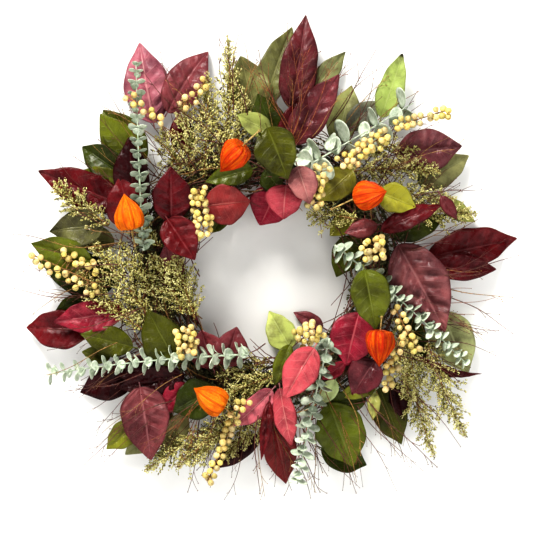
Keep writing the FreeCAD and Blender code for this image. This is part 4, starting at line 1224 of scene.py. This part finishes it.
def make_backdrop():
    """A white wall to hang on, seen from its front only and glowing with painted light outside the ring, a
    floor, and the rest of a pale room.
    """
    wall_y = CAD_BOX[1][1] + WALL_GAP
    floor_z = CAD_BOX[0][2] - FLOOR_DROP
    far, top = ROOM, floor_z + ROOM
    feet = {
        "wall": [(-far, wall_y), (far, wall_y)],
        "opposite": [(far, -far), (-far, -far)],
        "left": [(-far, -far), (-far, far)],
        "right": [(far, far), (far, -far)],
    }
    corners = {name: [(*first, floor_z), (*second, floor_z), (*second, top), (*first, top)]
               for name, (first, second) in feet.items()}
    corners["floor"] = [(-far, wall_y, floor_z), (-far, -far, floor_z),
                        (far, -far, floor_z), (far, wall_y, floor_z)]
    look = white_finish("floor_white")
    glow_away_from(look, (RING_CENTRE[0], wall_y, floor_z), FLOOR_REACH, (0.0, FAR_GLOW))
    plane("floor", corners["floor"], look.made)

    look = white_finish("wall_white_painted_light", WALL_PAINT)
    # Painted light: the wall glows faintly inside the ring, where the wreath's shade stays, and brightly
    # outside it, which washes out the shadows there.
    glow_away_from(look, (RING_CENTRE[0], wall_y, RING_CENTRE[2]), WALL_REACH, WALL_PAINTED_LIGHT)
    facing = look.node("ShaderNodeNewGeometry").outputs["Backfacing"]
    clear = look.node("ShaderNodeBsdfTransparent").outputs[0]
    blend = look.node("ShaderNodeMixShader", {0: facing, 1: look.shader.outputs[0], 2: clear}).outputs[0]
    look.tree.links.new(blend, look.tree.nodes["Material Output"].inputs["Surface"])
    plane("wall", corners["wall"], look.made, lights_others=False)

    look = white_finish("room_white")
    look.feed("Emission Strength", FAR_GLOW)
    for name in ("opposite", "left", "right"):
        plane(name, corners[name], look.made, lights_others=False)


def add_light(name, place, aim, size, power, color=(1, 1, 1)):
    data = bpy.data.lights.new(name, "AREA")
    data.shape = "DISK"
    data.size = size
    data.energy = power
    data.color = color
    light = bpy.data.objects.new(name, data)
    light.location = place
    light.rotation_mode = "QUATERNION"
    light.rotation_quaternion = (Vector(aim) - Vector(place)).to_track_quat("-Z", "Y")
    bpy.context.collection.objects.link(light)


def make_lights():
    world = bpy.data.worlds.new("studio")
    world.use_nodes = True
    background = world.node_tree.nodes["Background"]
    background.inputs["Color"].default_value = (1, 1, 1, 1)
    background.inputs["Strength"].default_value = WORLD_LIGHT
    bpy.context.scene.world = world
    centre = RING_CENTRE.tolist()
    add_light("key", (-1.0, -1.8, centre[2] + 2.6), centre, 1.3, 150, (1.0, 0.97, 0.92))
    add_light("fill", (1.6, -2.4, centre[2] - 0.2), centre, 2.4, 20)
    add_light("behind", (0.4, 1.6, centre[2] + 1.2), centre, 1.2, 22)


def make_camera():
    data = bpy.data.cameras.new("camera")
    data.lens = data.sensor_width * VIEW_DISTANCE / VIEW_WIDTH
    camera = bpy.data.objects.new("camera", data)
    camera.location = (RING_CENTRE[0], -VIEW_DEPTH - VIEW_DISTANCE, RING_CENTRE[2] + VIEW_RISE)
    camera.rotation_euler = (math.pi / 2, 0, 0)
    bpy.context.collection.objects.link(camera)
    scene = bpy.context.scene
    scene.camera = camera
    scene.view_settings.view_transform = "Standard"
    scene.view_settings.look = "High Contrast"


make_leaves()
make_eucalyptus()
make_canella()
make_artemisia()
for husk_number in HUSK_TONES:
    make_husk(husk_number)
make_twigs()
make_brush()
make_canes()
finish_cad_nodes()
make_backdrop()
make_lights()
make_camera()
